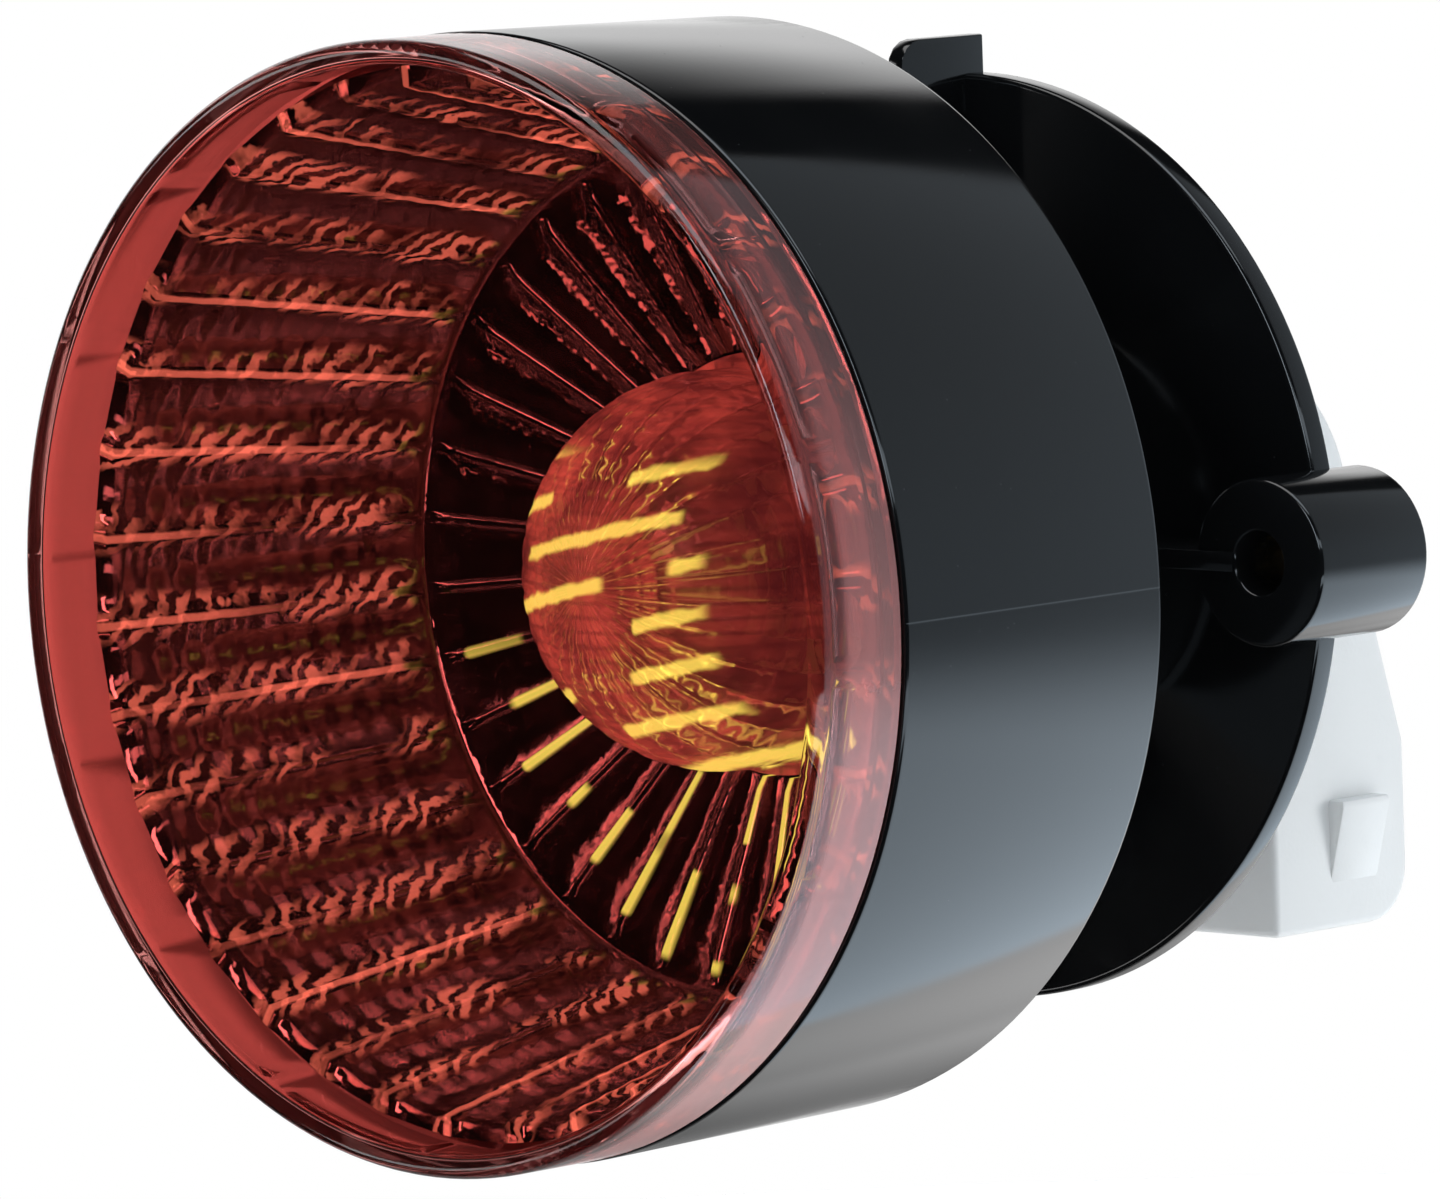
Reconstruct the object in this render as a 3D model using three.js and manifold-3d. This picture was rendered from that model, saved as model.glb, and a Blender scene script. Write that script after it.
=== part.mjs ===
// Round signal lamp module: red lens, fluted reflector, twist-in bulb holder, three rear screw bosses.
// Units are millimetres. The lamp's axis is Y and its lens faces -Y; +Z is up.
// The origin is on the axis, in the plane of the bosses' rear faces, where the lamp is screwed down.
// Depths in the code are counted rearwards from the front of the lens window.
import * as THREE from 'three';
import { mergeVertices } from 'three/addons/utils/BufferGeometryUtils.js';
import Module from 'manifold-3d';

const wasm = await Module();
wasm.setup();

// Driving dimensions
const FIXING_DEPTH = 77;          // lens window to the bosses' rear faces
const LENS_R = 49;
const LENS_WALL = 1.5;
const LENS_SIDE_END = 10.1;       // visible side wall of the lens
const LENS_SKIRT_END = 14;
const LENS_SKIRT_R = 47;
const LENS_EDGE_ROUND = 1.2;
const COLLAR_FRONT = 10.5;
const COLLAR_REAR = 43;
const COLLAR_FRONT_R = 49.1;
const COLLAR_REAR_R = 48.5;
const HOUSING_WALL = 2.3;
const SHOULDER_R = 43;            // where the flat shoulder turns into the rear cone
const NECK_START = 55;
const NECK_END = 70.5;
const NECK_R = 19;
const NECK_BORE_R = 16.9;
const REFLECTOR_FRONT = 7;
const REFLECTOR_FRONT_R = 45;
const REFLECTOR_LIP_R = 46.6;
const STEP_DEPTH = 39.4;          // where the reflector's wall meets its conical band
const STEP_R = 38.3;
const CONE_END = 46.5;
const CONE_END_R = 19.3;
const REFLECTOR_WALL = 1.1;
const FLUTES = 36;
const OPTIC_R = 17.9;
const OPTIC_WALL = 1.6;
const OPTIC_CENTRE = 39.8;
const FLANGE_FRONT = 70.8;
const FLANGE_REAR = 73.4;
const FLANGE_R = 41.7;
const HUB_R = 21;
const HUB_BORE_R = 19.3;
const HUB_FRONT = 60;
const LUG_CHAMBER_R = 18.4;       // bore in which the holder's lugs turn
const LIP_R = 16.7;               // bore of the lip that retains the lugs
const LIP_FRONT = 75;
const BOSS_COUNT = 3;
const BOSS_PITCH_R = 41.4;
const BOSS_R = 7.4;
const BOSS_FRONT = 63;
const BOSS_HOLE_R = 2.8;
const INSERT_FRONT = 70;
const INSERT_BORE_R = 3.6;
const INSERT_R = 3.3;
const INSERT_THREAD_R = 2.5;
const RIB_FRONT = 62.7;
const RIB_THICK = 1.8;
const KEY_TOP = 45.1;
const KEY_ROUND = 2.5;
const LUG_COUNT = 3;
const LUG_ANGLE = 24;             // degrees that one lug spans
const LUG_FRONT = 72.3;
const LUG_REAR = 74.6;
const LUG_R = 18;
const UNLOCK_ANGLE = 40;          // degrees from locked to the lugs' way out
const BARREL_R = 16.3;
const BARREL_FRONT = 62;
const SEAL_FRONT = 77.3;
const SEAL_REAR = 79.3;
const HOLDER_FLANGE_REAR = 82.2;
const HOLDER_FLANGE_R = 20.5;
const CAP_R = 15;
const CAP_REAR = 106;
const SOCKET_R = 9.2;
const SOCKET_END = 89;
const SHROUD_HALF_WIDTH = 14;
const SHROUD_FRONT = 94.4;
const SHROUD_REAR = 112.7;
const SHROUD_BOTTOM = -38.4;
const SHROUD_SHOULDER = -22;      // height at which the sloping back becomes upright
const SHROUD_CORNER = 5;
const SHROUD_WALL = 2;
const SHROUD_ROOF = -20;          // inner end of the connector's socket
const BLADE_WIDTH = 2.8;
const BLADE_THICK = 0.8;
const BLADE_PITCH = 5.5;
const BLADE_DEPTH = 103.5;
const BLADE_TIP = -34;
const BLADE_BEND = -6.5;
const BLADE_PLACES = [-BLADE_PITCH, 0, BLADE_PITCH];
const LATCH_TOP = -26.5;
const LATCH_BOTTOM = -36;
const LATCH_DEPTH = 105.2;
const LATCH_WIDTH = 6.5;
const LATCH_RISE = 1.8;
const SHELL_R = 8.9;
const SHELL_BORE_R = 7.85;
const SHELL_FRONT = 60;
const SHELL_REAR = 80;
const PIN_R = 1;
const PIN_REACH = 8.7;
const PIN_DEPTHS = [64.5, 67.7];  // the two side pins are offset along the cap
const SLOT_WIDTH = 2.8;
const BULB_TRAVEL = 2;
const BULB_TURN = 20;             // degrees from locked to the slots' way out
const BULB_CAP_R = 7.6;
const BULB_CAP_FRONT = 53.5;
const BULB_CAP_REAR = 74.5;
const BULB_CONTACT_END = 77;
const BULB_R = 12.5;
const BULB_CENTRE = 37;
const BULB_NECK_R = 6.9;
const CONTACT_OFFSET = 3.4;       // each contact's distance from the axis
const GAP = 0.3;                  // space left between touching pieces
const VENT_PLACE_R = 33;          // the vent pipe stands below the axis
const VENT_R = 3;
const VENT_BORE_R = 1.5;
const VENT_END = 57;
const ROUND_STEPS = 48;
const SMALL_STEPS = 24;

const group = new THREE.Group();
const rad = THREE.MathUtils.degToRad;
const axial = (depth) => depth - FIXING_DEPTH;

const redLens = { color: 0xb3202a, roughness: 0.08, metalness: 0 };
const metallised = { color: 0xd8d8da, roughness: 0.12, metalness: 1 };
const clearPlastic = { color: 0xe8e4dc, roughness: 0.08, metalness: 0 };
const blackPlastic = { color: 0x141517, roughness: 0.3, metalness: 0 };
const whitePlastic = { color: 0xdcdddc, roughness: 0.45, metalness: 0 };
const rubber = { color: 0x1a1a1a, roughness: 0.8, metalness: 0 };
const brass = { color: 0xc9a24b, roughness: 0.3, metalness: 1 };
const steel = { color: 0xb9bcbf, roughness: 0.3, metalness: 1 };
const glass = { color: 0xf2f4f4, roughness: 0.03, metalness: 0 };
const filamentWire = { color: 0xffe9a0, roughness: 0.4, metalness: 1 };

// Turns any closed geometry into a manifold solid whose faces point out.
function solid(geometry) {
  const bare = geometry.clone();
  bare.deleteAttribute('normal');
  bare.deleteAttribute('uv');
  const merged = mergeVertices(bare, 1e-4);
  const points = merged.attributes.position.array;
  const triangles = [];
  let volume = 0;
  const corner = (index) => new THREE.Vector3().fromArray(points, 3 * index);
  for (let i = 0; i < merged.index.count; i += 3) {
    const [a, b, c] = merged.index.array.slice(i, i + 3);
    if (a === b || b === c || c === a) continue;
    triangles.push(a, b, c);
    volume += corner(a).dot(corner(b).cross(corner(c)));
  }
  if (volume < 0) triangles.reverse();
  return new wasm.Manifold(new wasm.Mesh({
    numProp: 3,
    vertProperties: new Float32Array(points),
    triVerts: new Uint32Array(triangles),
  }));
}

function toGeometry(body) {
  const mesh = body.getMesh();
  const geometry = new THREE.BufferGeometry();
  geometry.setAttribute('position', new THREE.BufferAttribute(new Float32Array(mesh.vertProperties), 3));
  geometry.setIndex(new THREE.BufferAttribute(new Uint32Array(mesh.triVerts), 1));
  const flat = geometry.toNonIndexed();
  flat.computeVertexNormals();
  return flat;
}

function add(name, body, finish) {
  const mesh = new THREE.Mesh(toGeometry(body), new THREE.MeshStandardMaterial(finish));
  mesh.name = name;
  group.add(mesh);
}

// A solid of revolution about Y. The profile is a list of [radius, depth], and is closed here.
function turned(profile, steps = SMALL_STEPS) {
  const points = [...profile, profile[0]].map(([r, depth]) => new THREE.Vector2(r, axial(depth)));
  return solid(new THREE.LatheGeometry(points, steps));
}

// Points of an arc in a profile, from one angle to another, in degrees from the outward radius.
function arc(r, depth, radius, from, to, count) {
  return Array.from({ length: count + 1 }, (_, i) => {
    const angle = rad(from + (to - from) * i / count);
    return [r + radius * Math.cos(angle), depth + radius * Math.sin(angle)];
  });
}

function tube(outer, inner, front, rear, steps = SMALL_STEPS) {
  return turned([[inner, front], [outer, front], [outer, rear], [inner, rear]], steps);
}

function rod(radius, front, rear, steps = SMALL_STEPS) {
  return turned([[0, front], [radius, front], [radius, rear], [0, rear]], steps);
}

// A box between two corners given as [x, depth, z].
function block([x0, depth0, z0], [x1, depth1, z1]) {
  const box = new THREE.BoxGeometry(x1 - x0, depth1 - depth0, z1 - z0);
  box.translate((x0 + x1) / 2, axial((depth0 + depth1) / 2), (z0 + z1) / 2);
  return solid(box);
}

// A plate cut from an outline of [depth, height] points, spanning x0 to x1.
function plate(outline, x0, x1) {
  const shape = new THREE.Shape(outline.map(([depth, z]) => new THREE.Vector2(axial(depth), z)));
  const geometry = new THREE.ExtrudeGeometry(shape, { depth: x1 - x0, bevelEnabled: false });
  const turn = new THREE.Matrix4().set(0, 0, 1, x0, 1, 0, 0, 0, 0, 1, 0, 0, 0, 0, 0, 1);
  return solid(geometry.applyMatrix4(turn));
}

// Shifts a solid sideways, then turns it about the lamp's axis by the right-hand rule about +Y.
function moved(body, x, degrees = 0) {
  const geometry = toGeometry(body);
  geometry.translate(x, 0, 0);
  geometry.rotateY(rad(degrees));
  return solid(geometry);
}

// Keeps an arc's first or last point exactly on the axis.
function onAxis([r, depth]) {
  return [Math.max(r, 0) < 1e-6 ? 0 : r, depth];
}

// A plate cut from an outline of [x, height] points, from one depth to another.
function slab(outline, front, rear) {
  const shape = new THREE.Shape(outline.map(([x, z]) => new THREE.Vector2(x, z)));
  const geometry = new THREE.ExtrudeGeometry(shape, { depth: rear - front, bevelEnabled: false });
  geometry.rotateX(Math.PI / 2);
  geometry.translate(0, axial(rear), 0);
  return solid(geometry);
}

// A wedge about the axis, centred on +X.
function sector(radius, angle, front, rear) {
  const count = Math.ceil(angle / 6);
  const rim = Array.from({ length: count + 1 }, (_, i) => {
    const turn = rad(angle * (i / count - 0.5));
    return [radius * Math.cos(turn), radius * Math.sin(turn)];
  });
  return slab([[0, 0], ...rim], front, rear);
}

// A wire or tube of a round section along a curve.
function wire(points, radius, steps, sides) {
  const curve = new THREE.CatmullRomCurve3(points);
  const section = new THREE.Shape(Array.from({ length: sides }, (_, i) => {
    const angle = 2 * Math.PI * i / sides;
    return new THREE.Vector2(radius * Math.cos(angle), radius * Math.sin(angle));
  }));
  return solid(new THREE.ExtrudeGeometry(section, { steps, extrudePath: curve, bevelEnabled: false }));
}

function makeLens() {
  const inner = LENS_R - LENS_WALL;
  const skirtBore = LENS_SKIRT_R - 0.95;
  add('lens', turned([
    [0, 0],
    ...arc(LENS_R - LENS_EDGE_ROUND, LENS_EDGE_ROUND, LENS_EDGE_ROUND, -90, 0, 4),
    [LENS_R, LENS_SIDE_END],
    [LENS_SKIRT_R, LENS_SIDE_END],
    [LENS_SKIRT_R, LENS_SKIRT_END],
    [skirtBore, LENS_SKIRT_END],
    [skirtBore, LENS_SIDE_END - 0.7],
    [inner, LENS_SIDE_END - 1.9],
    ...arc(inner - 1, LENS_WALL + 1, 1, 0, -90, 3),
    [0, LENS_WALL],
  ], ROUND_STEPS), redLens);
}

function makeReflector() {
  const wall = REFLECTOR_WALL;
  add('reflector', turned([
    [REFLECTOR_FRONT_R, REFLECTOR_FRONT],
    [REFLECTOR_LIP_R, REFLECTOR_FRONT],
    [REFLECTOR_LIP_R, REFLECTOR_FRONT + 0.7],
    [REFLECTOR_FRONT_R + wall, REFLECTOR_FRONT + 0.7],
    [STEP_R + wall, STEP_DEPTH + wall],
    [CONE_END_R + wall, CONE_END + wall],
    [CONE_END_R, CONE_END + wall],
    [CONE_END_R, CONE_END],
    [STEP_R, STEP_DEPTH],
  ], FLUTES), metallised);
}

function makeOptic() {
  const inner = OPTIC_R - OPTIC_WALL;
  const foot = CONE_END - 0.4;
  add('inner_optic', turned([
    ...arc(0, OPTIC_CENTRE, OPTIC_R, -90, 0, 6).map(onAxis),
    [OPTIC_R, foot],
    [CONE_END_R - GAP, foot],
    [CONE_END_R - GAP, foot + 1.4],
    [inner, foot + 1.4],
    ...arc(0, OPTIC_CENTRE, inner, 0, -90, 6).map(onAxis),
  ]), clearPlastic);
  const ringFront = CONE_END + REFLECTOR_WALL + GAP;
  add('optic_ring', tube(CONE_END_R + 1, inner, ringFront, ringFront + 1.4), blackPlastic);
}

function makeHousing() {
  const wall = HOUSING_WALL;
  const slope = Math.atan2(NECK_START - COLLAR_REAR, SHOULDER_R - NECK_R);
  const inward = wall / Math.cos(slope);
  let body = turned([
    [LENS_SKIRT_R + GAP, COLLAR_FRONT],
    [COLLAR_FRONT_R - 0.6, COLLAR_FRONT],
    [COLLAR_FRONT_R, COLLAR_FRONT + 0.6],
    [COLLAR_REAR_R, COLLAR_REAR - 0.6],
    [COLLAR_REAR_R - 0.6, COLLAR_REAR],
    [SHOULDER_R, COLLAR_REAR],
    [NECK_R, NECK_START],
    [NECK_R, NECK_END],
    [NECK_BORE_R, NECK_END],
    [NECK_BORE_R, NECK_START - inward + (NECK_R - NECK_BORE_R) * Math.tan(slope)],
    [SHOULDER_R, COLLAR_REAR - inward],
    [COLLAR_REAR_R - wall, COLLAR_REAR - inward],
  ], ROUND_STEPS);
  const below = 90;
  const pipe = moved(tube(VENT_R, VENT_BORE_R, COLLAR_REAR, VENT_END, 16), VENT_PLACE_R);
  const pipeHole = moved(rod(VENT_BORE_R, COLLAR_FRONT + 5, VENT_END, 16), VENT_PLACE_R);
  const insideCone = turned([
    [0, COLLAR_FRONT],
    [COLLAR_REAR_R, COLLAR_FRONT],
    [COLLAR_REAR_R, COLLAR_REAR - inward + 0.5],
    [SHOULDER_R, COLLAR_REAR - inward + 0.5],
    [NECK_R, NECK_START - inward + 0.5],
    [0, NECK_START],
  ]);
  body = body.add(moved(pipe.subtract(insideCone), 0, below)).subtract(moved(pipeHole, 0, below));
  add('front_housing', body, blackPlastic);
}

function makeBreatherCap() {
  const inner = VENT_R + GAP;
  const outer = VENT_R + 1.6;
  const roof = VENT_END + GAP;
  const cap = turned([
    [inner, VENT_END - 5],
    [outer, VENT_END - 5],
    [outer, roof + 0.6],
    [outer - 0.8, roof + 1.4],
    [0, roof + 1.4],
    [0, roof],
    [inner, roof],
  ], 16);
  add('breather_cap', moved(moved(cap, VENT_PLACE_R), 0, 90), rubber);
}

function makeRearFlange() {
  let body = turned([
    [HUB_BORE_R, HUB_FRONT],
    [HUB_R, HUB_FRONT],
    [HUB_R, FLANGE_FRONT],
    [FLANGE_R, FLANGE_FRONT],
    [FLANGE_R, FLANGE_REAR],
    [HUB_R, FLANGE_REAR],
    [HUB_R, FIXING_DEPTH],
    [LIP_R, FIXING_DEPTH],
    [LIP_R, LIP_FRONT],
    [LUG_CHAMBER_R, LIP_FRONT],
    [LUG_CHAMBER_R, FLANGE_FRONT],
    [HUB_BORE_R, FLANGE_FRONT],
  ], ROUND_STEPS);
  const half = RIB_THICK / 2;
  const ribRoot = HUB_R - 1;
  for (let i = 0; i < BOSS_COUNT; i += 1) {
    const angle = -360 * i / BOSS_COUNT;
    const boss = moved(rod(BOSS_R, BOSS_FRONT, FIXING_DEPTH), BOSS_PITCH_R);
    const rib = block([ribRoot, RIB_FRONT, -half], [BOSS_PITCH_R, FLANGE_FRONT + 1, half]);
    const hole = moved(rod(BOSS_HOLE_R, RIB_FRONT - 1, FIXING_DEPTH, 16), BOSS_PITCH_R);
    const seat = moved(rod(INSERT_BORE_R, INSERT_FRONT, FIXING_DEPTH + 1, 16), BOSS_PITCH_R);
    body = body.add(moved(boss.add(rib), 0, angle)).subtract(moved(hole.add(seat), 0, angle));
    const bush = tube(INSERT_R, INSERT_THREAD_R, INSERT_FRONT + GAP, FIXING_DEPTH - GAP, 16);
    const insert = moved(bush, BOSS_PITCH_R);
    add(`threaded_insert_${i + 1}`, moved(insert, 0, angle), brass);
  }
  body = body.add(plate([
    [RIB_FRONT, ribRoot],
    [FLANGE_REAR, ribRoot],
    [FLANGE_REAR, KEY_TOP],
    ...arc(KEY_TOP - KEY_ROUND, RIB_FRONT + KEY_ROUND, KEY_ROUND, 0, -90, 4)
      .map(([z, depth]) => [depth, z]),
  ], -half, half));
  const notchAngle = LUG_ANGLE + 4;
  for (let i = 0; i < LUG_COUNT; i += 1) {
    const notch = sector(LUG_CHAMBER_R, notchAngle, LIP_FRONT - 0.5, FIXING_DEPTH + 1);
    body = body.subtract(moved(notch, 0, 360 * i / LUG_COUNT + UNLOCK_ANGLE));
  }
  add('rear_flange', body, blackPlastic);
}

function makeHolder() {
  const flangeFront = SEAL_REAR + GAP;
  let body = rod(BARREL_R, BARREL_FRONT, HOLDER_FLANGE_REAR);
  for (let i = 0; i < LUG_COUNT; i += 1) {
    body = body.add(moved(sector(LUG_R, LUG_ANGLE, LUG_FRONT, LUG_REAR), 0, 360 * i / LUG_COUNT));
  }
  body = body.add(rod(HOLDER_FLANGE_R, flangeFront, HOLDER_FLANGE_REAR, ROUND_STEPS));
  body = body.add(turned([
    [0, flangeFront],
    [CAP_R, flangeFront],
    ...arc(CAP_R - 2, CAP_REAR - 2, 2, 0, 90, 3),
    [0, CAP_REAR],
  ], ROUND_STEPS));
  body = body.add(plate([
    [SHROUD_FRONT, SHROUD_BOTTOM],
    ...arc(SHROUD_BOTTOM + SHROUD_CORNER, SHROUD_REAR - SHROUD_CORNER, SHROUD_CORNER, 180, 90, 4)
      .map(([z, depth]) => [depth, z]),
    [SHROUD_REAR, SHROUD_SHOULDER],
    [CAP_REAR, 0],
    [SHROUD_FRONT, 0],
  ], -SHROUD_HALF_WIDTH, SHROUD_HALF_WIDTH));
  for (const side of [-1, 1]) {
    const foot = side * (SHROUD_HALF_WIDTH - 0.5);
    const crest = side * (SHROUD_HALF_WIDTH + LATCH_RISE);
    body = body.add(slab([[foot, LATCH_BOTTOM], [crest, LATCH_TOP], [foot, LATCH_TOP]],
      LATCH_DEPTH - LATCH_WIDTH / 2, LATCH_DEPTH + LATCH_WIDTH / 2));
  }
  const inner = SHROUD_HALF_WIDTH - SHROUD_WALL;
  body = body.subtract(block([-inner, SHROUD_FRONT + SHROUD_WALL, SHROUD_BOTTOM - 1],
    [inner, SHROUD_REAR - SHROUD_WALL, SHROUD_ROOF]));
  body = body.subtract(rod(SOCKET_R, BARREL_FRONT - 1, SOCKET_END));
  for (const x of BLADE_PLACES) {
    const halfWidth = BLADE_WIDTH / 2 + GAP;
    const halfThick = BLADE_THICK / 2 + GAP;
    body = body.subtract(block([x - halfWidth, BLADE_DEPTH - halfThick, SHROUD_ROOF - 0.5],
      [x + halfWidth, BLADE_DEPTH + halfThick, BLADE_BEND + halfThick]));
    body = body.subtract(block([x - halfWidth, SOCKET_END - 0.5, BLADE_BEND - halfThick],
      [x + halfWidth, BLADE_DEPTH + halfThick, BLADE_BEND + halfThick]));
  }
  add('holder_body', body, whitePlastic);
  const sealR = HOLDER_FLANGE_R - GAP;
  add('holder_seal', tube(sealR, BARREL_R + GAP, SEAL_FRONT, SEAL_REAR, ROUND_STEPS), rubber);
}

function makeTerminals() {
  const names = ['tail_terminal', 'earth_terminal', 'stop_terminal'];
  const half = BLADE_THICK / 2;
  const tip = [
    [BLADE_DEPTH - half, BLADE_TIP + 1],
    [BLADE_DEPTH - half / 3, BLADE_TIP],
    [BLADE_DEPTH + half / 3, BLADE_TIP],
    [BLADE_DEPTH + half, BLADE_TIP + 1],
  ];
  BLADE_PLACES.forEach((x, i) => {
    add(names[i], plate([
      ...tip,
      [BLADE_DEPTH + half, BLADE_BEND + half],
      [SOCKET_END + 0.4, BLADE_BEND + half],
      [SOCKET_END + 0.4, BLADE_BEND - half],
      [BLADE_DEPTH - half, BLADE_BEND - half],
    ], x - BLADE_WIDTH / 2, x + BLADE_WIDTH / 2), brass);
  });
}

function makeSocketShell() {
  let body = tube(SHELL_R, SHELL_BORE_R, SHELL_FRONT, SHELL_REAR);
  const half = SLOT_WIDTH / 2;
  const turnSteps = 4;
  PIN_DEPTHS.forEach((depth, i) => {
    const rear = depth + half + BULB_TRAVEL;
    const entry = block([SHELL_BORE_R - 1, SHELL_FRONT - 1, -half], [SHELL_R + 1, rear, half]);
    const leg = block([SHELL_BORE_R - 1, depth - half, -half], [SHELL_R + 1, rear, half]);
    body = body.subtract(moved(entry, 0, 180 * i + BULB_TURN));
    for (let step = 0; step < turnSteps; step += 1) {
      body = body.subtract(moved(leg, 0, 180 * i + BULB_TURN * step / turnSteps));
    }
  });
  add('socket_shell', body, steel);
}

function makeContacts() {
  const headFront = BULB_CONTACT_END + GAP;
  const carrierFront = headFront + 0.8;
  const carrierRear = carrierFront + 2.2;
  let carrier = rod(SHELL_BORE_R - 0.4, carrierFront, carrierRear);
  for (const [name, side] of [['contact_pin_tail', -1], ['contact_pin_stop', 1]]) {
    const x = side * CONTACT_OFFSET;
    carrier = carrier.subtract(moved(rod(1.5, carrierFront - 1, carrierRear + 1, 16), x));
    add(name, moved(turned([
      [0, headFront],
      [1.9, headFront],
      [1.9, headFront + 0.5],
      [1.2, headFront + 0.5],
      [1.2, carrierRear + 1.5],
      [0, carrierRear + 1.5],
    ], 16), x), brass);
  }
  add('contact_carrier', carrier, blackPlastic);

  const wireR = 0.45;
  const coilR = 6;
  const turns = 5;
  const stepsPerTurn = 12;
  const front = carrierRear + GAP + wireR;
  const rear = SOCKET_END - GAP - wireR;
  const points = Array.from({ length: turns * stepsPerTurn + 1 }, (_, i) => {
    const angle = 2 * Math.PI * i / stepsPerTurn;
    const depth = front + (rear - front) * i / (turns * stepsPerTurn);
    return new THREE.Vector3(coilR * Math.cos(angle), axial(depth), coilR * Math.sin(angle));
  });
  add('contact_spring', wire(points, wireR, turns * stepsPerTurn, 5), steel);
}

function makeBulb() {
  const neck = BULB_NECK_R;
  const thin = 0.7;
  const shoulder = 56;
  add('bulb_glass', turned([
    ...arc(0, BULB_CENTRE, BULB_R, -90, shoulder, 7).map(onAxis),
    [neck, BULB_CENTRE + 12],
    [neck, BULB_CAP_FRONT + 3.5],
    [neck - thin, BULB_CAP_FRONT + 3.5],
    [neck - thin, BULB_CENTRE + 12],
    ...arc(0, BULB_CENTRE, BULB_R - thin, shoulder, -90, 7).map(onAxis),
  ]), glass);

  let cap = turned([
    [BULB_CAP_R - 0.4, BULB_CAP_FRONT],
    [BULB_CAP_R, BULB_CAP_FRONT],
    [BULB_CAP_R, BULB_CAP_REAR - 0.8],
    [BULB_CAP_R - 0.6, BULB_CAP_REAR],
    [5.3, BULB_CAP_REAR],
    [5.3, BULB_CAP_REAR - 0.6],
    [BULB_CAP_R - 0.4, BULB_CAP_REAR - 1.2],
  ]);
  PIN_DEPTHS.forEach((depth, i) => {
    const pin = new THREE.CylinderGeometry(PIN_R, PIN_R, PIN_REACH - BULB_CAP_R + 0.2, 16);
    pin.rotateZ(Math.PI / 2);
    pin.translate((PIN_REACH + BULB_CAP_R - 0.2) / 2, axial(depth), 0);
    pin.rotateY(Math.PI * i);
    cap = cap.add(solid(pin));
  });
  add('bulb_cap', cap, brass);

  const baseRear = BULB_CAP_REAR + 1.1;
  add('bulb_insulator', rod(5, BULB_CAP_REAR - 1.4, baseRear, 24), blackPlastic);
  for (const [name, side] of [['bulb_contact_tail', -1], ['bulb_contact_stop', 1]]) {
    add(name, moved(turned([
      [0, baseRear + GAP],
      [1.5, baseRear + GAP],
      [1.5, BULB_CONTACT_END - 0.5],
      [1, BULB_CONTACT_END],
      [0, BULB_CONTACT_END],
    ], 16), side * CONTACT_OFFSET), steel);
  }

  const pressFront = 45;
  const stem = turned([
    [0, pressFront + 5],
    [1.9, pressFront + 5],
    [1.9, pressFront + 8],
    [5.6, BULB_CAP_FRONT + 4],
    [5.6, BULB_CAP_FRONT + 5],
    [0, BULB_CAP_FRONT + 5],
  ], 16);
  add('bulb_stem', stem.add(block([-4.4, pressFront, -1.5], [4.4, pressFront + 7, 1.5])), glass);
  makeFilament('filament_stop', 3.4, 2.6, 36, -0.5, -0.8);
  makeFilament('filament_tail', 1.6, 2, 33, 1, 2.2);
}

// A filament between its two lead wires, which stand in front of the glass stem.
function makeFilament(name, footX, topX, topDepth, footZ, topZ) {
  const foot = 45 - GAP;
  const half = (side) => [
    new THREE.Vector3(side * footX, axial(foot), footZ),
    new THREE.Vector3(side * footX, axial(foot - 4), (footZ + topZ) / 2),
    new THREE.Vector3(side * topX, axial(topDepth + 1), topZ),
    new THREE.Vector3(side * topX * 0.8, axial(topDepth), topZ),
  ];
  add(name, wire([...half(-1), ...half(1).reverse()], 0.25, 20, 5), filamentWire);
}

makeLens();
makeReflector();
makeOptic();
makeHousing();
makeBreatherCap();
makeRearFlange();
makeHolder();
makeTerminals();
makeSocketShell();
makeContacts();
makeBulb();

export default group;
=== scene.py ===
import math

import bmesh
import bpy
from bpy.props import FloatProperty, FloatVectorProperty, IntProperty, PointerProperty
from mathutils import Matrix, Vector


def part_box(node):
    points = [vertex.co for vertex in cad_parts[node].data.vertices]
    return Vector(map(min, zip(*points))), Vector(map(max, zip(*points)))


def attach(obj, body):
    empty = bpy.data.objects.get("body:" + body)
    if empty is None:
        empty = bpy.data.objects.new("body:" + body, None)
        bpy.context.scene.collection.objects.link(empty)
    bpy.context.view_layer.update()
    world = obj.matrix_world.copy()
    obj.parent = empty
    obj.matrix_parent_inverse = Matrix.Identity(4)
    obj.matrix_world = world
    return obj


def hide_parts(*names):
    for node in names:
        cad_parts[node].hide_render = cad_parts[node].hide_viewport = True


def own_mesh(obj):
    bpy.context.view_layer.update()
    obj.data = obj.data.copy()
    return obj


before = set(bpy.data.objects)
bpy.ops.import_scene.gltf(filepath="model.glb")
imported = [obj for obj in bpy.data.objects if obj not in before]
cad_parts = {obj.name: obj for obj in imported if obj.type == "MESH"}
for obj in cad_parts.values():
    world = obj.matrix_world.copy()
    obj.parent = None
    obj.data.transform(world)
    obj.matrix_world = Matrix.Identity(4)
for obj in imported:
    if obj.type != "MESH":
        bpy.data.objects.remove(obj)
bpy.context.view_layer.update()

bl_info = {
    "name": "Round Signal Lamp",
    "version": (1, 0, 0),
    "blender": (4, 5, 0),
    "location": "3D View > Sidebar > Signal Lamp",
    "description": "Builds the visible pieces of a round signal lamp module around its CAD frame",
    "category": "Add Mesh",
}

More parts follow.
